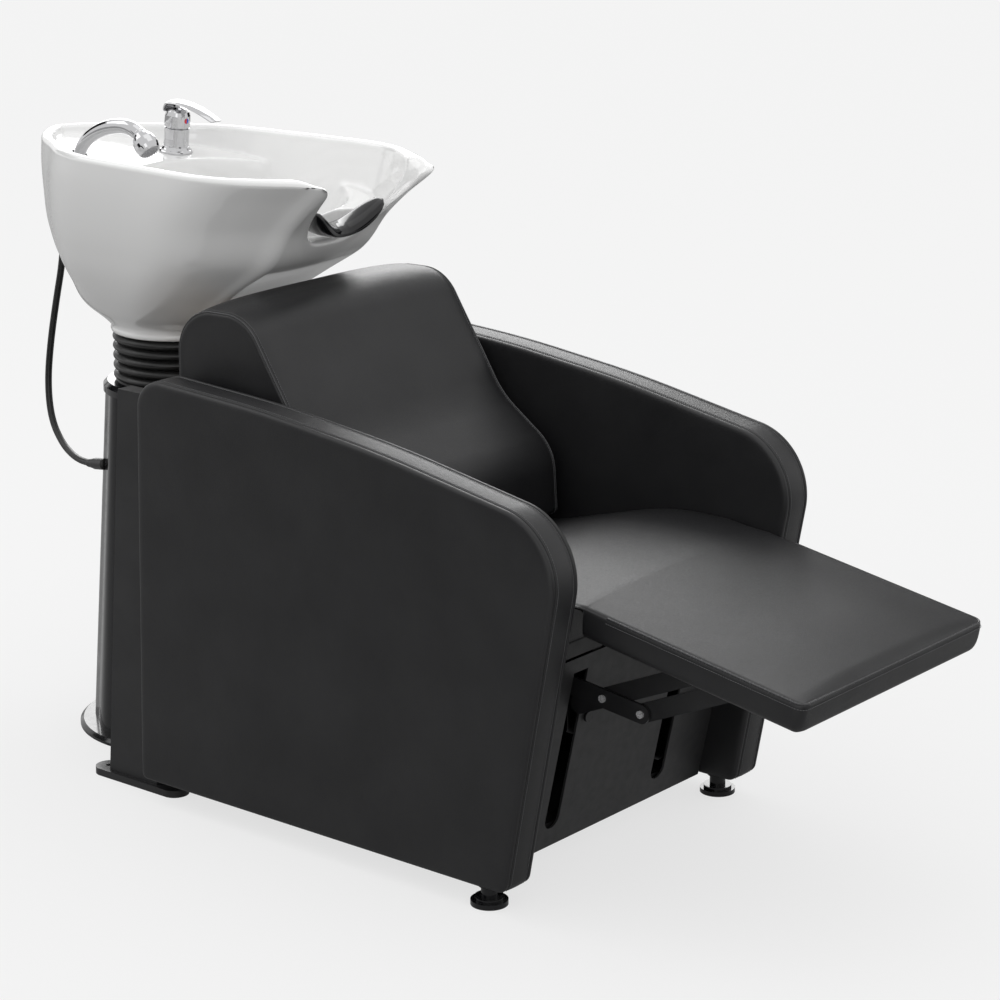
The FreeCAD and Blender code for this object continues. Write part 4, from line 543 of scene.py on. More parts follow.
def bowl_height(x, y):
    """Height of the bowl's wall over a place: where the oval at that height passes through it."""
    zs = np.linspace(0, 1.05, 60)
    front, rear, half = np.moveaxis(table(HOLLOW, zs), -1, 0)
    y0, y1 = FRONT + front * LENGTH, FRONT + rear * LENGTH
    best = np.full(x.shape, 1.6)
    for k in range(len(zs) - 1, -1, -1):
        r = np.sqrt((x / (half[k] * HALF)) ** 2 + ((y - (y0[k] + y1[k]) / 2) / ((y1[k] - y0[k]) / 2)) ** 2)
        inside = r <= 1
        best = np.where(inside, zs[k], best)
        if k == len(zs) - 1:
            best = np.where(r > 1, 1.05 + (r - 1) * 3.0, best)
        else:
            cross = (~inside) & (before <= 1)
            share = np.where(cross, (1 - before) / np.maximum(r - before, 1e-6), 0)
            best = np.where(cross, zs[k + 1] - share * (zs[k + 1] - zs[k]), best)
        before = r
    return BOWL_FLOOR + best * (TOP - BOWL_FLOOR)


ex, ey = edge[:, 0], edge[:, 1]
DRAIN = np.array((0.0, -18.0))
DECK_HEIGHT, DECK_MIDDLE, DECK_RISE = 987.0, 78.0, 0.12
RIM_SPREAD = 14.0
WALL_FALL = 3.2


def inside_height(x, y):
    """Height of the basin's inner surface: the rounded rim, its inner wall, the deck and the bowl."""
    d2 = (x[:, None] - ex[None]) ** 2 + (y[:, None] - ey[None]) ** 2
    near = np.argmin(d2, 1)
    d = np.sqrt(d2[np.arange(len(x)), near])
    weight = np.exp(-d2 / (2 * RIM_SPREAD ** 2) + (d[:, None] ** 2) / (2 * RIM_SPREAD ** 2))
    top = (weight * edge_z[None]).sum(1) / weight.sum(1)
    wide = (weight * rim_width[None]).sum(1) / weight.sum(1)
    t = np.clip((d - wide / 2) / (wide / 2), -1, 1)
    crest = top - LIP * (1 - np.sqrt(np.clip(1 - t * t, 0, 1)))
    wall = np.where(d > wide, top - LIP - (d - wide) * WALL_FALL, crest)
    deck = DECK_HEIGHT + (y - DECK_MIDDLE) * DECK_RISE
    low = smin(deck, bowl_height(x, y), 26)
    return np.where(d < wide * 0.6, crest, smax(wall, low, 16))


rays = []
RAY_POINTS = 420
inward = (np.linspace(0, 1, RAY_POINTS) ** 1.7)[:, None]
for start in edge[:, :2]:
    rays.append(start[None] * (1 - inward) + DRAIN[None] * inward)
rays = np.array(rays)
heights = np.empty(rays.shape[:2])
for i in range(len(rays)):
    heights[i] = inside_height(rays[i, :, 0], rays[i, :, 1])
curves3 = np.dstack([rays, heights])
inner_rings = []
INNER_RINGS = 110
for c in curves3:
    run = np.concatenate([[0], np.cumsum(np.linalg.norm(np.diff(c, axis=0), axis=1))])
    at = run[-1] * np.linspace(0, 1, INNER_RINGS) ** 1.25
    inner_rings.append(np.stack([np.interp(at, run, c[:, k]) for k in range(3)], 1))
inner_rings = np.swapaxes(np.array(inner_rings), 0, 1)
# The inner surface stays a wall's thickness inside the outer one, seen from the drain
WALL = 9.0
REACH_LEVELS, REACH_WAYS = 60, 360
wall_levels = np.linspace(LOW, TOP, REACH_LEVELS)
ways = np.linspace(-math.pi, math.pi, REACH_WAYS + 1)
reach = []
for z in wall_levels:
    loop = outer_at(np.full(len(ex), z))
    angle = np.arctan2(loop[:, 1] - DRAIN[1], loop[:, 0] - DRAIN[0])
    far = np.hypot(loop[:, 1] - DRAIN[1], loop[:, 0] - DRAIN[0])
    order = np.argsort(angle)
    reach.append(np.interp(ways, angle[order], far[order], period=2 * math.pi))
reach = np.array(reach)
flat = inner_rings[..., :2] - DRAIN
angle = np.arctan2(flat[..., 1], flat[..., 0])
far = np.hypot(flat[..., 0], flat[..., 1])
row = np.clip((inner_rings[..., 2] - LOW) / TALL * (REACH_LEVELS - 1), 0, REACH_LEVELS - 1 - 0.001)
column = np.clip((angle + math.pi) / (2 * math.pi) * REACH_WAYS, 0, REACH_WAYS - 0.001)
r0, c0 = row.astype(int), column.astype(int)
fr, fc = row - r0, column - c0
limit = ((reach[r0, c0] * (1 - fc) + reach[r0, c0 + 1] * fc) * (1 - fr)
         + (reach[r0 + 1, c0] * (1 - fc) + reach[r0 + 1, c0 + 1] * fc) * fr) - WALL
below_lip = inner_rings[..., 2] < (edge_z[None] - LIP - 3)
shrink = np.where(below_lip & (far > limit), limit / np.maximum(far, 1e-6), 1.0)
inner_rings[..., :2] = DRAIN + flat * shrink[..., None]
wall_rings = []
LEVELS = 64
edge_start = edge_z - LIP
for k in range(LEVELS):
    t = k / (LEVELS - 1)
    z = LOW + (edge_start - LOW) * (t ** 0.92)
    wall_rings.append(outer_at(z))
wall_rings = np.array(wall_rings)
# The wall meets the rim's outer side over the last rings
shift = edge[:, :2] - wall_rings[-1][:, :2]
for k in range(LEVELS - 1):
    t = max(0.0, (k - (LEVELS - 9)) / 8)
    wall_rings[k][:, :2] += shift * (t * t * (3 - 2 * t))
wall_rings[-1][:, :2] = edge[:, :2]
# The underside and the foot's rounded lip, which take the place of the wall's lowest rings
FOOT_LEVELS = 3
foot_lip = []
base = outer_at(np.full(len(ex), LOW))
for inset, up in ((24, 60), (24, 2), (18, 0), (2, 0), (-2.2, 1.5), (-3.4, 5), (-2.8, 8.5), (-0.8, 11)):
    ring = base.copy()
    ring[:, :2] -= outward(base[:, :2]) * inset
    ring[:, 2] = LOW + up
    foot_lip.append(ring)
basin_rings = np.vstack([np.array(foot_lip), wall_rings[FOOT_LEVELS:], inner_rings[1:]]) * MM
basin = skin("basin_shell", basin_rings)
place(basin, ceramic, "basin", ("basin",))

# Neck rest: a glossy saddle between the horns
REST_HALF, REST_BACK, REST_LOW = 84, -362, 908
REST_STEPS = 60
REST_WIDE, REST_HIGH, REST_DEEP, REST_LIFT = 27.5, 18.5, 3.5, 2.0
rest_shares = np.linspace(-1, 1, REST_STEPS + 1)
rest_path = []
for t in rest_shares:
    rest_path.append((REST_HALF * t, REST_BACK - 34 * abs(t) ** 2, REST_LOW + 50 * abs(t) ** 2.2))
rest_path = np.array(rest_path) * MM
rest_rings = []
for i, t in enumerate(rest_shares):
    way = rest_path[min(i + 1, REST_STEPS)] - rest_path[max(i - 1, 0)]
    way /= np.linalg.norm(way)
    fwd = np.array((0, -1.0, 0))
    fwd = fwd - way * (fwd @ way)
    fwd /= np.linalg.norm(fwd)
    up = np.cross(way, fwd)
    if up[2] < 0:
        up = -up
    grow = math.sqrt(max(0, 1 - abs(t) ** 5)) * (1 - 0.10 * abs(t))
    grow = max(grow, 0.03)
    ring = []
    for a in np.linspace(0, 2 * math.pi, 40, endpoint=False):
        c, s = math.cos(a), math.sin(a)
        wide = REST_WIDE * grow * math.copysign(abs(c) ** 0.85, c)
        high = (REST_HIGH if s > 0 else REST_DEEP) * grow * math.copysign(abs(s) ** 0.8, s)
        ring.append(rest_path[i] + fwd * wide * MM + up * (high + REST_LIFT) * MM)
    rest_rings.append(ring)
rest = skin("neck_saddle", rest_rings)
place(rest, gloss_black, "basin", ("neck_rest",))

# Tap: turned body, cap, a lever over it and a two-colour dot
LEAN = math.atan2(12, 100)
DECK_UP = np.array((0, -math.sin(LEAN), math.cos(LEAN)))
TAP_FRONT = np.array((0, -math.cos(LEAN), -math.sin(LEAN)))
TAP = np.array((85, DECK_MIDDLE, DECK_HEIGHT))


def tap_at(up, ahead=0.0, aside=0.0):
    return (TAP + DECK_UP * up + TAP_FRONT * ahead + np.array((aside, 0, 0))) * MM


SKIRT = [(0, 0), (29, 0), (29, 2.2), (27.5, 4.2), (25, 5.6), (23.6, 8), (22.6, 10.5), (0, 10.5)]
BARREL = [(0, -20), (11, -20), (11, 4), (22.4, 8), (21.8, 12), (21.3, 24), (21.6, 41.6), (19.4, 42.4),
          (19.4, 43), (0, 43)]
DOME = [(0, 43.2), (19.2, 43.2), (21.2, 43.6), (22, 44.4), (22, 52), (21.6, 64), (19.5, 70.5), (14, 75),
        (6, 77), (0, 77)]
flange = lathe("tap_skirt", SKIRT, tap_at(0), DECK_UP, 96, 0.8)
place(flange, chrome, "basin", ("tap_flange",))
body = lathe("tap_barrel", BARREL, tap_at(0), DECK_UP, 96, 0.6)
place(body, chrome, "basin", ("tap_body",))
cap = lathe("mixer_dome", DOME, tap_at(0), DECK_UP, 96, 0.7)
place(cap, chrome, "mixer", ("mixer_cap",))
dot_parts = []
for sign in (-1, 1):
    turn = np.linspace(-math.pi / 2, math.pi / 2, 15)
    dot_rings = []
    centre = tap_at(57, 21.6)
    for reach, out in ((4.6, -0.6), (4.6, 0.35), (4.0, 0.7), (0.02, 0.8)):
        ring = [centre + (np.array((1.0, 0, 0)) * math.cos(a) * sign * reach + DECK_UP * math.sin(a) * reach
                          + np.array((1.0, 0, 0)) * sign * 0.15 + TAP_FRONT * out) * MM for a in turn]
        dot_rings.append(ring)
    dot_parts.append(skin("dot_warm" if sign < 0 else "dot_cold", dot_rings))
place(dot_parts[0], red_dot, "mixer", ("temperature_marker",))
place(dot_parts[1], blue_dot, "mixer")

LEVER = [(-22.5, 66), (-23.5, 74), (-20, 83), (-10, 88.5), (8, 90.5), (30, 89.5), (52, 86), (72, 81),
         (86, 76.5), (94, 74)]
LEVER_HALF, LEVER_THICK = 17.5, 5.6
lever_line = smooth_through(LEVER, 70)
lever_rings = []
for i, (ahead, up) in enumerate(lever_line):
    a, b = lever_line[max(i - 1, 0)], lever_line[min(i + 1, len(lever_line) - 1)]
    way = (b - a) / np.linalg.norm(b - a)
    normal = np.array((-way[1], way[0]))
    t = i / (len(lever_line) - 1)
    half = LEVER_HALF - 5.5 * max(0, (t - 0.35) / 0.65) ** 1.2
    end = min(1.0, (1 - t) / 0.06) if t > 0.94 else min(1.0, (t + 0.006) / 0.05)
    half *= math.sqrt(max(1 - (1 - end) ** 2, 0.02))
    thick = (LEVER_THICK - 1.6 * t) * math.sqrt(max(1 - (1 - end) ** 2, 0.05))
    ring = []
    for g in np.linspace(0, 2 * math.pi, 36, endpoint=False):
        c, s = math.cos(g), math.sin(g)
        x = half * math.copysign(abs(c) ** 0.75, c)
        drop = -2.8 * (x / LEVER_HALF) ** 2
        h = thick / 2 * math.copysign(abs(s) ** 0.7, s) - thick / 2 + drop
        ring.append(tap_at(up + normal[1] * h, ahead + normal[0] * h, x))
    lever_rings.append(ring)
lever = skin("lever_blade", lever_rings)
place(lever, chrome, "lever", ("mixer_lever",))

# Hand shower: socket, curved handle and a round head
SHOWER = np.array((-105, 117, 991.7))


def shower_at(up, ahead=0.0):
    return (SHOWER + DECK_UP * up + TAP_FRONT * ahead) * MM


COLLAR = [(0, -2), (18, -2), (18, 3), (17, 7), (14.2, 12.5), (13, 16), (11.4, 16), (11.2, 10), (0, 10)]
socket = lathe("shower_collar", COLLAR, shower_at(0), DECK_UP, 72, 0.8)
place(socket, chrome, "basin", ("shower_socket",))
HANDLE = [(-14, 0), (4, 1), (22, 6), (40, 19), (56, 38), (69, 61), (78, 86), (82, 108), (80, 128), (73, 144)]
handle_line = smooth_through(HANDLE, 110)
handle_path = np.array([shower_at(u, a) for u, a in handle_line])
share = np.linspace(0, 1, len(handle_path))
handle_radii = (9.6 + 3.0 * np.clip(share * 1.6, 0, 1) - 0.8 * np.clip((share - 0.85) / 0.15, 0, 1)) * MM
handle = mesh_object("shower_grip", *sweep_data(handle_path, handle_radii, 40))
place(handle, chrome, "hand_shower", ("shower_handle",))
head_foot = handle_path[-1]
head_way = handle_path[-1] - handle_path[-6]
head_way = head_way / np.linalg.norm(head_way)
head_axis = head_way * 0.9 + np.array((0, 0, -1.0)) * 0.35
head_axis /= np.linalg.norm(head_axis)
BULB = [(0, -10), (11, -10), (12.4, -4), (16, 1), (19.2, 7), (20.8, 14), (20.6, 21), (19, 27), (17.4, 30.4),
        (16.4, 31.2), (15.2, 30.2), (0, 30.2)]
head = lathe("shower_bulb", BULB, head_foot, head_axis, 80, 1.5)
place(head, chrome, "hand_shower", ("shower_head",))
spray = [lathe_data([(0, 29), (15, 29), (15, 31.2), (12, 32.4), (0, 32.8)], head_foot, head_axis, 60, 0.6)]
su, sv = frame_of(head_axis)[:2]
for rad, count in ((4.2, 6), (8.2, 12), (12, 16)):
    for k in range(count):
        g = 2 * math.pi * k / count
        spray.append(lathe_data([(0, 31.4), (1.0, 31.4), (0.75, 34.0), (0, 34.2)],
                                head_foot + (su * math.cos(g) + sv * math.sin(g)) * rad * MM, head_axis, 10))
place(merged("spray_nozzles", spray), grey_plastic, "hand_shower", ("spray_face",))

# Bellows: five fat folds between the column's cap and the basin
FOLDS, FOLDS_LOW, FOLDS_HIGH = 5, 619, 702.2
fold_profile = [(100, 618.2), (107, 618.2)]
pitch = (FOLDS_HIGH - FOLDS_LOW) / FOLDS
for k in range(FOLDS):
    z0 = FOLDS_LOW + k * pitch
    for t in np.linspace(0, 1, 17):
        swell = math.sin(math.pi * t) ** 0.62
        fold_profile.append((99.5 + 11.0 * swell, z0 + t * pitch))
fold_profile += [(100, 702.4)]
bellows = lathe("bellows_folds", fold_profile, (0, 0, 0), (0, 0, 1), 128, 0, caps=False)
paint(bellows, rubber)
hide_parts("bellows")
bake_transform(bellows)
# Waste hose inside the bellows, with small even folds
WASTE_FOLDS, WASTE_LOW, WASTE_TALL = 13, 592.5, 83.2
inner = []
for k in range(WASTE_FOLDS):
    z0 = WASTE_LOW + k * WASTE_TALL / WASTE_FOLDS
    for t in np.linspace(0, 1, 7):
        inner.append((16.8 + 2.6 * math.sin(math.pi * t) ** 0.7, z0 + t * WASTE_TALL / WASTE_FOLDS))
waste = lathe("waste_corrugated", inner, (0, -18 * MM, 0), (0, 0, 1), 48, 0, caps=False)
place(waste, grey_plastic, "frame", ("waste_hose",))

# Arms: outline in the side plane
ARM = ((1.0, 0.0, 0.018), (0.979, 1.0, 0.071), (0.677, 0.981, 3.6), (0.402, 0.941, 3.6), (0.0, 0.85, 0.162),
       (0.122, 0.0, 0.026))
ARM_FRONT, ARM_LENGTH, ARM_LOW, ARM_HEIGHT = -0.928 - 0.160, 0.871, 0.037, 0.678
ARM_EDGE = 12
arm_corners = [(ARM_FRONT + a * ARM_LENGTH, ARM_LOW + u * ARM_HEIGHT) for a, u, _ in ARM]
arm_loop = rounded(arm_corners, [r * ARM_HEIGHT for _, _, r in ARM], step=0.004)
arm_loop = resample(arm_loop, 700)
arm_out = outward(arm_loop)
arm_centre = arm_loop.mean(0)


def arm_ring(side, x, inset):
    loop = arm_loop - arm_out * inset * MM
    return np.column_stack([np.full(len(loop), side * x * MM), loop])


def side_panel(side, face, inward):
    """A panel of an arm: its edge rolls over into the seam, its face is slightly full."""
    rings = []
    for inset, w in ((4.6, 10.6), (2.0, 10.3), (0.7, 9.6), (0.1, 8.3), (0.0, 6.6), (0.35, 4.8), (1.3, 2.9),
                     (2.9, 1.5), (5.2, 0.7), (8.5, 0.25), (ARM_EDGE, 0.0)):
        rings.append(arm_ring(side, face + inward * w, inset))
    base = arm_loop - arm_out * ARM_EDGE * MM
    for s in (0.97, 0.94, 0.9, 0.84, 0.76, 0.66, 0.54, 0.4, 0.26, 0.12, 0.03):
        loop = arm_centre + (base - arm_centre) * s
        puff = -1.6 * (1 - s ** 3)
        wave = 0.22 * np.sin(loop[:, 0] * 23 + loop[:, 1] * 11) * (1 - s)
        rings.append(np.column_stack([side * (face + inward * (puff + wave)) * MM, loop]))
    return skin_data(rings, False, True)


BAND = ((4.6, 10.5), (1.6, 10.9), (0.6, 11.7), (0.1, 13.2), (-0.5, 19), (-0.9, 26), (-1.0, 32.5), (-0.9, 39),
        (-0.5, 46), (0.1, 51.8), (0.6, 53.3), (1.6, 54.1), (4.6, 54.5))
ARM_OUT, ARM_IN = 330, 265
for side, word in ((1, "left"), (-1, "right")):
    panels = merged("arm_cover_" + word, [side_panel(side, ARM_OUT, -1), side_panel(side, ARM_IN, 1)])
    place(panels, leather, "frame", ("arm_panels_" + word,))
    band = skin("arm_edge_" + word, [arm_ring(side, ARM_OUT - w, d) for d, w in BAND], False, False)
    place(band, leather_band, "frame", ("arm_band_" + word,))
    threads = []
    way_out = np.column_stack([np.zeros(len(arm_loop)), arm_out])
    for w in (14.6, 50.4):
        threads.append(stitch_data(arm_ring(side, ARM_OUT - w, -0.15), way_out, 4.0, 2.9, 0.42))
    place(merged("arm_stitches_" + word, threads), thread, "frame")

# Seat and legrest: one cover from the seat's rear to the legrest's front end, which bends at the fold
FOLD_Y, FOLD_Z = -1058.0, 470.0
SLOPE = math.atan2(66, 391)
RUN = np.array((0, -math.cos(SLOPE), -math.sin(SLOPE)))
UPN = np.array((0, -math.sin(SLOPE), math.cos(SLOPE)))
FOLD = np.array((0, FOLD_Y, FOLD_Z))
SEAT_TOP = ((0.0, 12.0), (0.056, 14.4), (0.117, 16.0), (0.25, 12.8), (0.44, -22.2), (0.55, -45.0),
            (1.0, -45.0))


def half_section(half, top, bottom, crown, run_at, soft=1.0):
    """The right half of a pad's section from the middle of its underside to the middle of its top."""
    b, t, h = bottom, top, half
    side = t - b
    r = min(15.0, side * 0.4)
    pts = [(0, b), (h * 0.35, b), (h * 0.7, b), (h - r * 1.25, b), (h - r * 0.72, b + r * 0.09),
           (h - r * 0.36, b + r * 0.3), (h - r * 0.12, b + r * 0.62), (h - 0.1, b + r * 1.0),
           (h + 0.6, b + side * 0.52), (h + 0.6, b + side * 0.66), (h + 0.1, t - 7.5 * soft),
           (h - 0.6, t - 4.2 * soft), (h - 1.7, t - 2.2 * soft), (h - 2.9, t - 1.7 * soft),
           (h - 4.2, t - 0.7 * soft)]
    for u in (0.975, 0.96, 0.94, 0.91, 0.87, 0.82, 0.76, 0.69, 0.6, 0.5, 0.39, 0.27, 0.14, 0.0):
        x = h * u
        rise = crown * (1 - u ** 2.6)
        near = math.exp(-((h - x) / 16.0) ** 2)
        pucker = 0.35 * math.sin(run_at / 8.5 * 2 * math.pi + 1.7 * math.sin(run_at / 61.0)) * near
        pts.append((x, t + rise + pucker))
    return pts


def full_section(place_at, up, *args, **kw):
    right = half_section(*args, **kw)
    left = [(-x, z) for x, z in right[-2:0:-1]]
    return [place_at + np.array((x, 0, 0)) + up * z for x, z in right + left]


cover_rings = []
# Seat, from its rear end to the fold
SEAT_RUN, SEAT_HALF, SEAT_LOW, SEAT_ROUND = 770.0, 258.0, -66.0, 735
FOLD_HALF, FOLD_LOW, FOLD_CUT, CROWN = 246.0, 6.5, 43, 15.0
PAD_HALF, PAD_TOP, PAD_LOW, PAD_END, PAD_CORNER = 245.0, 12.0, -37.0, 391.0, 16.0
seat_spots = [762, 758, 750, 735, 700, 640, 560, 500] + list(np.arange(470, 60, -5.0))
seat_spots += [58, 56, 54, 52, 50, 47, 43, 40, 37, 33, 28, 23, 18, 13, 8, 4]
seat_rows = np.array(SEAT_TOP)
for back in seat_spots:
    along = back / SEAT_RUN
    top = float(table(seat_rows, np.array([along]))[0, 0])
    crown = CROWN if along < 0.4 else CROWN - 10.0 * min(1, (along - 0.4) / 0.15)
    if back >= FOLD_CUT + 15:
        bottom = SEAT_LOW
    elif back > FOLD_CUT:
        bottom = 7.0 - 73.0 * ((back - FOLD_CUT) / 15.0) ** 0.8
    else:
        bottom = FOLD_LOW
    half = SEAT_HALF if back > 90 else FOLD_HALF + 12.0 * (max(0, back - 20) / 70.0) ** 1.5
    if back > SEAT_ROUND:
        half -= (back - SEAT_ROUND) * 0.35
        top -= (back - SEAT_ROUND) * 0.8
    cover_rings.append(full_section(FOLD + np.array((0, back, 0)), np.array((0, 0, 1.0)), half, top,
                                    min(bottom, top - 3), crown, back, soft=min(1, (top - bottom) / 20)))
# Legrest, from the fold to its front end
CROWN_END, TOP_END = 25.0, 5.0
rest_spots = [2, 3, 4, 6, 9, 14] + list(np.arange(19, 366, 4.0))
rest_spots += [368, 372, 376, 380, 383, 386, 388, 389.5, 390.6, PAD_END]
for ahead in rest_spots:
    bottom = PAD_LOW if ahead > 4 else FOLD_LOW - 43.5 * max(0, (ahead - 2) / 3.0)
    bottom = max(bottom, PAD_LOW)
    half, top, crown = PAD_HALF, PAD_TOP, CROWN
    past = ahead - (PAD_END - PAD_CORNER)
    if past > 0:
        half -= PAD_CORNER - math.sqrt(max(PAD_CORNER ** 2 - past ** 2, 0))
        bottom += 13.0 * (1 - math.sqrt(max(0, 1 - (past / PAD_CORNER) ** 2)))
    past = ahead - (PAD_END - CROWN_END)
    if past > 0:
        crown *= 1 - (past / CROWN_END) ** 2.2
    past = ahead - (PAD_END - TOP_END)
    if past > 0:
        top -= 3.5 * (past / TOP_END) ** 2
    crown *= 1 - 0.35 * max(0, (ahead - 250) / 141.0) ** 2
    cover_rings.append(full_section(FOLD + RUN * ahead, UPN, half, top, bottom, crown, ahead))
cover_rings = np.array(cover_rings) * MM
cover = skin("seat_legrest_cover", cover_rings)
paint(cover, leather)
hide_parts("seat_pad", "legrest_pad")
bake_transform(cover)


# Piping and stitches round the legrest, along its sides and its front end
def legrest_run(inset, height):
    """A line round the legrest from the fold along one side, the front end and back, inset from the edge."""
    h = PAD_HALF - inset
    e = PAD_END - inset
    corner = PAD_CORNER - inset * 0.5
    pts = rounded([(h, 44), (h, e), (-h, e), (-h, 44)], [0, corner, corner, 0], step=2.5, closed=False)
    return np.array([FOLD + np.array((x, 0, 0)) + RUN * a + UPN * height for x, a in pts]) * MM, pts


line_top = legrest_run(2.6, 10.9)[0]
place(mesh_object("legrest_piping", *sweep_data(line_top, 1.9 * MM, 12)), piping, "legrest")
line_side, flat = legrest_run(-0.55, 4.2)
normals = []
for i in range(len(flat)):
    d = flat[min(i + 1, len(flat) - 1)] - flat[max(i - 1, 0)]
    n = np.array((d[1], -d[0]))
    n /= np.linalg.norm(n)
    mid = flat[i] - np.array((0, 200))
    if n @ mid < 0:
        n = -n
    normals.append(np.array((n[0], 0, 0)) + RUN * n[1])
side_threads = stitch_data(line_side, normals, 4.2, 3.0, 0.45, closed=False)
place(merged("legrest_stitches", [side_threads]), thread, "legrest")

# Back cushion: the side outline with a full front, flat side panels and piping at their edge
BACK = ((0.951, 0.0, 0.03), (0.0, 0.0, 0.03), (0.02, 0.287, 0.2), (0.303, 0.485, 0.42), (0.62, 1.0, 0.19),
        (1.0, 0.99, 0.235), (1.0, 0.60, 0.3))
BACK_FRONT, BACK_DEPTH, BACK_LOW, BACK_HEIGHT, BACK_HALF = -0.634, 0.389, 0.436, 0.390, 243.0
BACK_REAR = -0.2455
back_corners = [(BACK_FRONT + a * BACK_DEPTH, BACK_LOW + u * BACK_HEIGHT) for a, u, _ in BACK]
back_loop = resample(rounded(back_corners, [r * BACK_HEIGHT for _, _, r in BACK], step=0.003), 420)
back_out = outward(back_loop)
back_centre = np.array((-0.400, 0.620))


def back_ring(x, inset, grow=1.0):
    loop = back_loop - back_out * inset * MM
    loop = back_centre + (loop - back_centre) * grow
    high = np.clip((loop[:, 1] - 0.64) / 0.18, 0, 1)
    loop[:, 1] -= 0.008 * (abs(x) / BACK_HALF) ** 4 * high * high * (3 - 2 * high)
    loop[:, 0] = np.minimum(loop[:, 0], BACK_REAR)
    return np.column_stack([np.full(len(loop), x * MM), loop])


def back_side(side):
    rings = []
    for s in (0.05, 0.2, 0.4, 0.6, 0.78, 0.9, 0.96):
        rings.append(back_ring(side * (BACK_HALF + 2.0 * (1 - s ** 2)), 9, s))
    for x, inset in ((BACK_HALF, 9), (243.2, 6.0), (242.8, 3.6), (241.8, 2.0), (240.6, 1.6), (239.6, 0.9),
                     (237.5, 0.2), (234, -0.6), (228, -1.6)):
        rings.append(back_ring(side * x, inset))
    return rings


middle = []
for x in np.linspace(-220, 220, 45):
    middle.append(back_ring(x, -1.6 - 2.2 * (1 - abs(x / BACK_HALF) ** 4)))
cushion = skin("back_cover", back_side(-1) + middle + back_side(1)[::-1])
place(cushion, leather, "frame", ("back_cushion",))
pipes, threads = [], []
for side in (-1, 1):
    ring = back_ring(side * 240.2, 0.6)
    pipes.append(sweep_data(np.vstack([ring, ring[:1]]), 1.6 * MM, 10, caps=False))
    normal = np.column_stack([np.zeros(len(back_out)), back_out])
    threads.append(stitch_data(back_ring(side * 235.2, -0.75), normal, 4.2, 3.0, 0.45))
place(merged("back_piping", pipes), piping, "frame")
place(merged("back_stitches", threads), thread, "frame")

# Materials of the model's own nodes
OWN_LOOKS = (
    (wood, ("arm_core_left", "arm_core_right", "back_board")),
    (black_steel, ("seat_frame", "panel_frame", "rear_beams", "rear_post_left", "rear_post_right",
                   "foot_plates", "legrest_rails", "lift_frame", "cross_link_left", "cross_link_right",
                   "strut_link_left", "strut_link_right", "shaft_bearings",
                   "column_tube", "tilt_yoke", "basin_bracket")),
    (bright_steel, ("arm_bolts", "legrest_pins", "lift_pins", "tilt_pins")),
    (gloss_black, ("column_cover_front", "column_cover_rear", "column_cap", "base_flange",
                   "levelling_foot_left", "levelling_foot_right", "friction_hub", "panel_screws")),
    (chrome, ("drain_body", "drain_strainer")),
    (grey_plastic, ("waste_pipe",)),
)
for look, names in OWN_LOOKS:
    for name in names:
        paint(NODES[name], look)
paint(NODES["front_panel"], panel_paint)

# Painted shade: a thin dark sheet behind the linkage's swing, hung from the seat frame, and a dark strip of
# it above the floor, standing for the shade in the hollow under the seat
shade_sheet_loop = rounded([(-263, 46), (263, 46), (263, 369.5), (-263, 369.5)], [6, 6, 1, 1], step=3.0)
SHADE_SHEET_HALF = 262
shade_sheet_rings = []
for y in (-640.0, -639.6, -638.4, -638.0):
    depth = np.full(len(shade_sheet_loop), y)
    shade_sheet_rings.append(np.column_stack([shade_sheet_loop[:, 0], depth, shade_sheet_loop[:, 1]]) * MM)
place(skin("painted_shade_sheet", shade_sheet_rings), dust_cloth_and_painted_shade, "frame")
# Painted shade on the floor: a dark strip in front of the sheet, where the floor under the seat lies in
# shade
shade_strip_rings = []
for y, z in ((-639.0, 44.0), (-720.0, 42.0), (-820.0, 40.0), (-903.0, 38.0)):
    shade_strip = [(-SHADE_SHEET_HALF, y, z), (SHADE_SHEET_HALF, y, z), (SHADE_SHEET_HALF, y, z + 2), (-SHADE_SHEET_HALF, y, z + 2)]
    shade_strip_rings.append(np.array(shade_strip) * MM)
place(skin("painted_shade_strip", shade_strip_rings), dust_cloth_and_painted_shade, "frame")
paint(NODES["seat_board"], dust_cloth_and_painted_shade)

# Legrest board: the same plate with rounded corners, a little in from the pad's edge
board = NODES["legrest_board"]
board_verts = np.array([tuple(board.matrix_world @ v.co) for v in board.data.vertices])
board_rel = board_verts / MM - FOLD
board_a, board_h = board_rel @ RUN, board_rel @ UPN
board_half = float(np.abs(board_rel[:, 0]).max()) - 12
board_loop = rounded([(board_half, float(board_a.min())), (board_half, float(board_a.max()) - 10),
                      (-board_half, float(board_a.max()) - 10), (-board_half, float(board_a.min()))],
                     [3, 26, 26, 3], step=3.0)
board_rings = []
low, high = float(board_h.min()), float(board_h.max())
for inset, z in ((2.5, low), (0.8, low + 0.7), (0, low + 2.5), (0, high)):
    flat = board_loop - outward(board_loop) * inset
    board_rings.append(np.array([FOLD + np.array((x, 0, 0)) + RUN * a + UPN * z for x, a in flat]) * MM)
place(skin("legrest_base_plate", board_rings), dust_cloth_and_painted_shade, "legrest", ("legrest_board",))

# Floor, light and background
PALE = 0.922
FLOOR_GLOW = 0.70
MIRROR_SHARE = 0.30
FLOOR_GREY = 0.20
FLOOR_REACH, FLOOR_DROP = 14, -0.0005
floor_signs = ((-1, -1), (1, -1), (1, 1), (-1, 1))
floor = mesh_object("floor", [(x * FLOOR_REACH, y * FLOOR_REACH, FLOOR_DROP) for x, y in floor_signs],
                    [(0, 1, 2, 3)])


def math_node(tree, operation, factor=None, clamp=False):
    node = tree.nodes.new("ShaderNodeMath")
    node.operation = operation
    node.use_clamp = clamp
    if factor is not None:
        node.inputs[1].default_value = factor
    return node


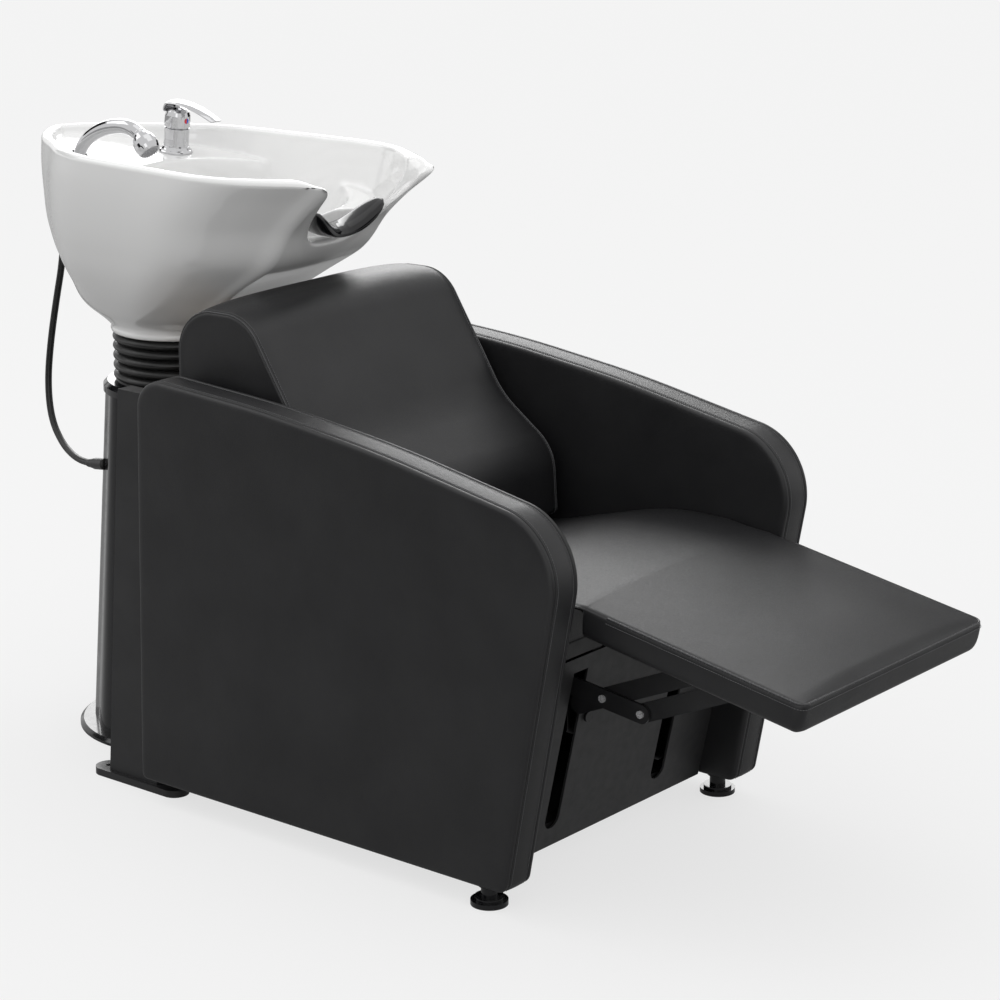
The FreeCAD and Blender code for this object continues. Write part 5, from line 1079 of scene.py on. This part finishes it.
floor_mat = bpy.data.materials.new("floor")
floor_mat.use_nodes = True
tree = floor_mat.node_tree
join = tree.links.new
tree.nodes.clear()
out = tree.nodes.new("ShaderNodeOutputMaterial")
add = tree.nodes.new("ShaderNodeAddShader")
glow = tree.nodes.new("ShaderNodeEmission")
glow.inputs["Color"].default_value = (1, 1, 1, 1)
glow_path = tree.nodes.new("ShaderNodeLightPath")
glow_part = math_node(tree, "MULTIPLY", MIRROR_SHARE)
glow_sum = math_node(tree, "ADD", clamp=True)
glow_level = math_node(tree, "MULTIPLY", FLOOR_GLOW)
join(glow_path.outputs["Is Camera Ray"], glow_sum.inputs[0])
join(glow_path.outputs["Is Glossy Ray"], glow_part.inputs[0])
join(glow_part.outputs[0], glow_sum.inputs[1])
join(glow_sum.outputs[0], glow_level.inputs[0])
join(glow_level.outputs[0], glow.inputs["Strength"])
diffuse = tree.nodes.new("ShaderNodeBsdfDiffuse")
diffuse.inputs["Color"].default_value = (FLOOR_GREY, FLOOR_GREY, FLOOR_GREY, 1)
join(glow.outputs[0], add.inputs[0])
join(diffuse.outputs[0], add.inputs[1])
join(add.outputs[0], out.inputs["Surface"])
paint(floor, floor_mat)

world = bpy.data.worlds.new("studio")
bpy.context.scene.world = world
world.use_nodes = True
tree = world.node_tree
join = tree.links.new
tree.nodes.clear()
out = tree.nodes.new("ShaderNodeOutputWorld")
mix = tree.nodes.new("ShaderNodeMixShader")
path = tree.nodes.new("ShaderNodeLightPath")
seen = tree.nodes.new("ShaderNodeBackground")
seen.inputs["Color"].default_value = (PALE, PALE, PALE, 1)
seen.inputs["Strength"].default_value = 1
light = tree.nodes.new("ShaderNodeBackground")
light.inputs["Color"].default_value = (1, 1, 1, 1)
light.inputs["Strength"].default_value = 1.0
add1 = math_node(tree, "ADD")
add2 = math_node(tree, "ADD", clamp=True)
join(path.outputs["Is Camera Ray"], add1.inputs[0])
join(path.outputs["Is Glossy Ray"], add1.inputs[1])
join(add1.outputs[0], add2.inputs[0])
join(path.outputs["Is Transmission Ray"], add2.inputs[1])
join(add2.outputs[0], mix.inputs["Fac"])
join(light.outputs[0], mix.inputs[1])
join(seen.outputs[0], mix.inputs[2])
join(mix.outputs[0], out.inputs["Surface"])


def softbox(name, location, target, size, power):
    data = bpy.data.lights.new(name, "AREA")
    data.shape = "RECTANGLE"
    data.size = size
    data.size_y = size
    data.energy = power
    obj = bpy.data.objects.new(name, data)
    bpy.context.scene.collection.objects.link(obj)
    obj.location = location
    obj.rotation_euler = (Vector(target) - Vector(location)).to_track_quat("-Z", "Y").to_euler()
    obj.visible_camera = False
    return obj


softbox("key", (-1.2, 2.6, 3.4), (0, -0.5, 0.5), 2.0, 13)
softbox("top", (0.3, -0.6, 3.6), (0, -0.6, 0.5), 2.4, 8)
softbox("front", (-3.4, -2.4, 2.2), (0, -0.6, 0.5), 1.4, 4)
sheen = softbox("sheen", (3.4, 2.8, 3.0), (0, -0.8, 0.4), 3.6, 130)
sheen.visible_diffuse = False

# Dark cards that only mirror-like surfaces see
card_mat = bpy.data.materials.new("card")
card_mat.use_nodes = True
card_look = card_mat.node_tree.nodes["Principled BSDF"].inputs
card_look["Base Color"].default_value = (0.01, 0.01, 0.01, 1)
card_look["Roughness"].default_value = 1.0
card_look["Specular IOR Level"].default_value = 0.0
for number, corners in enumerate((
        [(-2.6, -0.5, 0), (-2.6, 1.6, 0), (-2.6, 1.6, 1.5), (-2.6, -0.5, 1.5)],
        [(-1.6, -4.2, 0), (1.4, -4.2, 0), (1.4, -4.2, 0.9), (-1.6, -4.2, 0.9)],
        [(2.8, -1.6, 0.6), (2.8, 0.6, 0.6), (2.8, 0.6, 2.0), (2.8, -1.6, 2.0)],
        [(-0.9, 2.9, 1.5), (0.8, 2.9, 1.5), (0.8, 2.9, 2.6), (-0.9, 2.9, 2.6)])):
    card = mesh_object("card_%d" % number, corners, [(0, 1, 2, 3)])
    paint(card, card_mat)
    card.visible_camera = False
    card.visible_diffuse = False
    card.visible_shadow = False
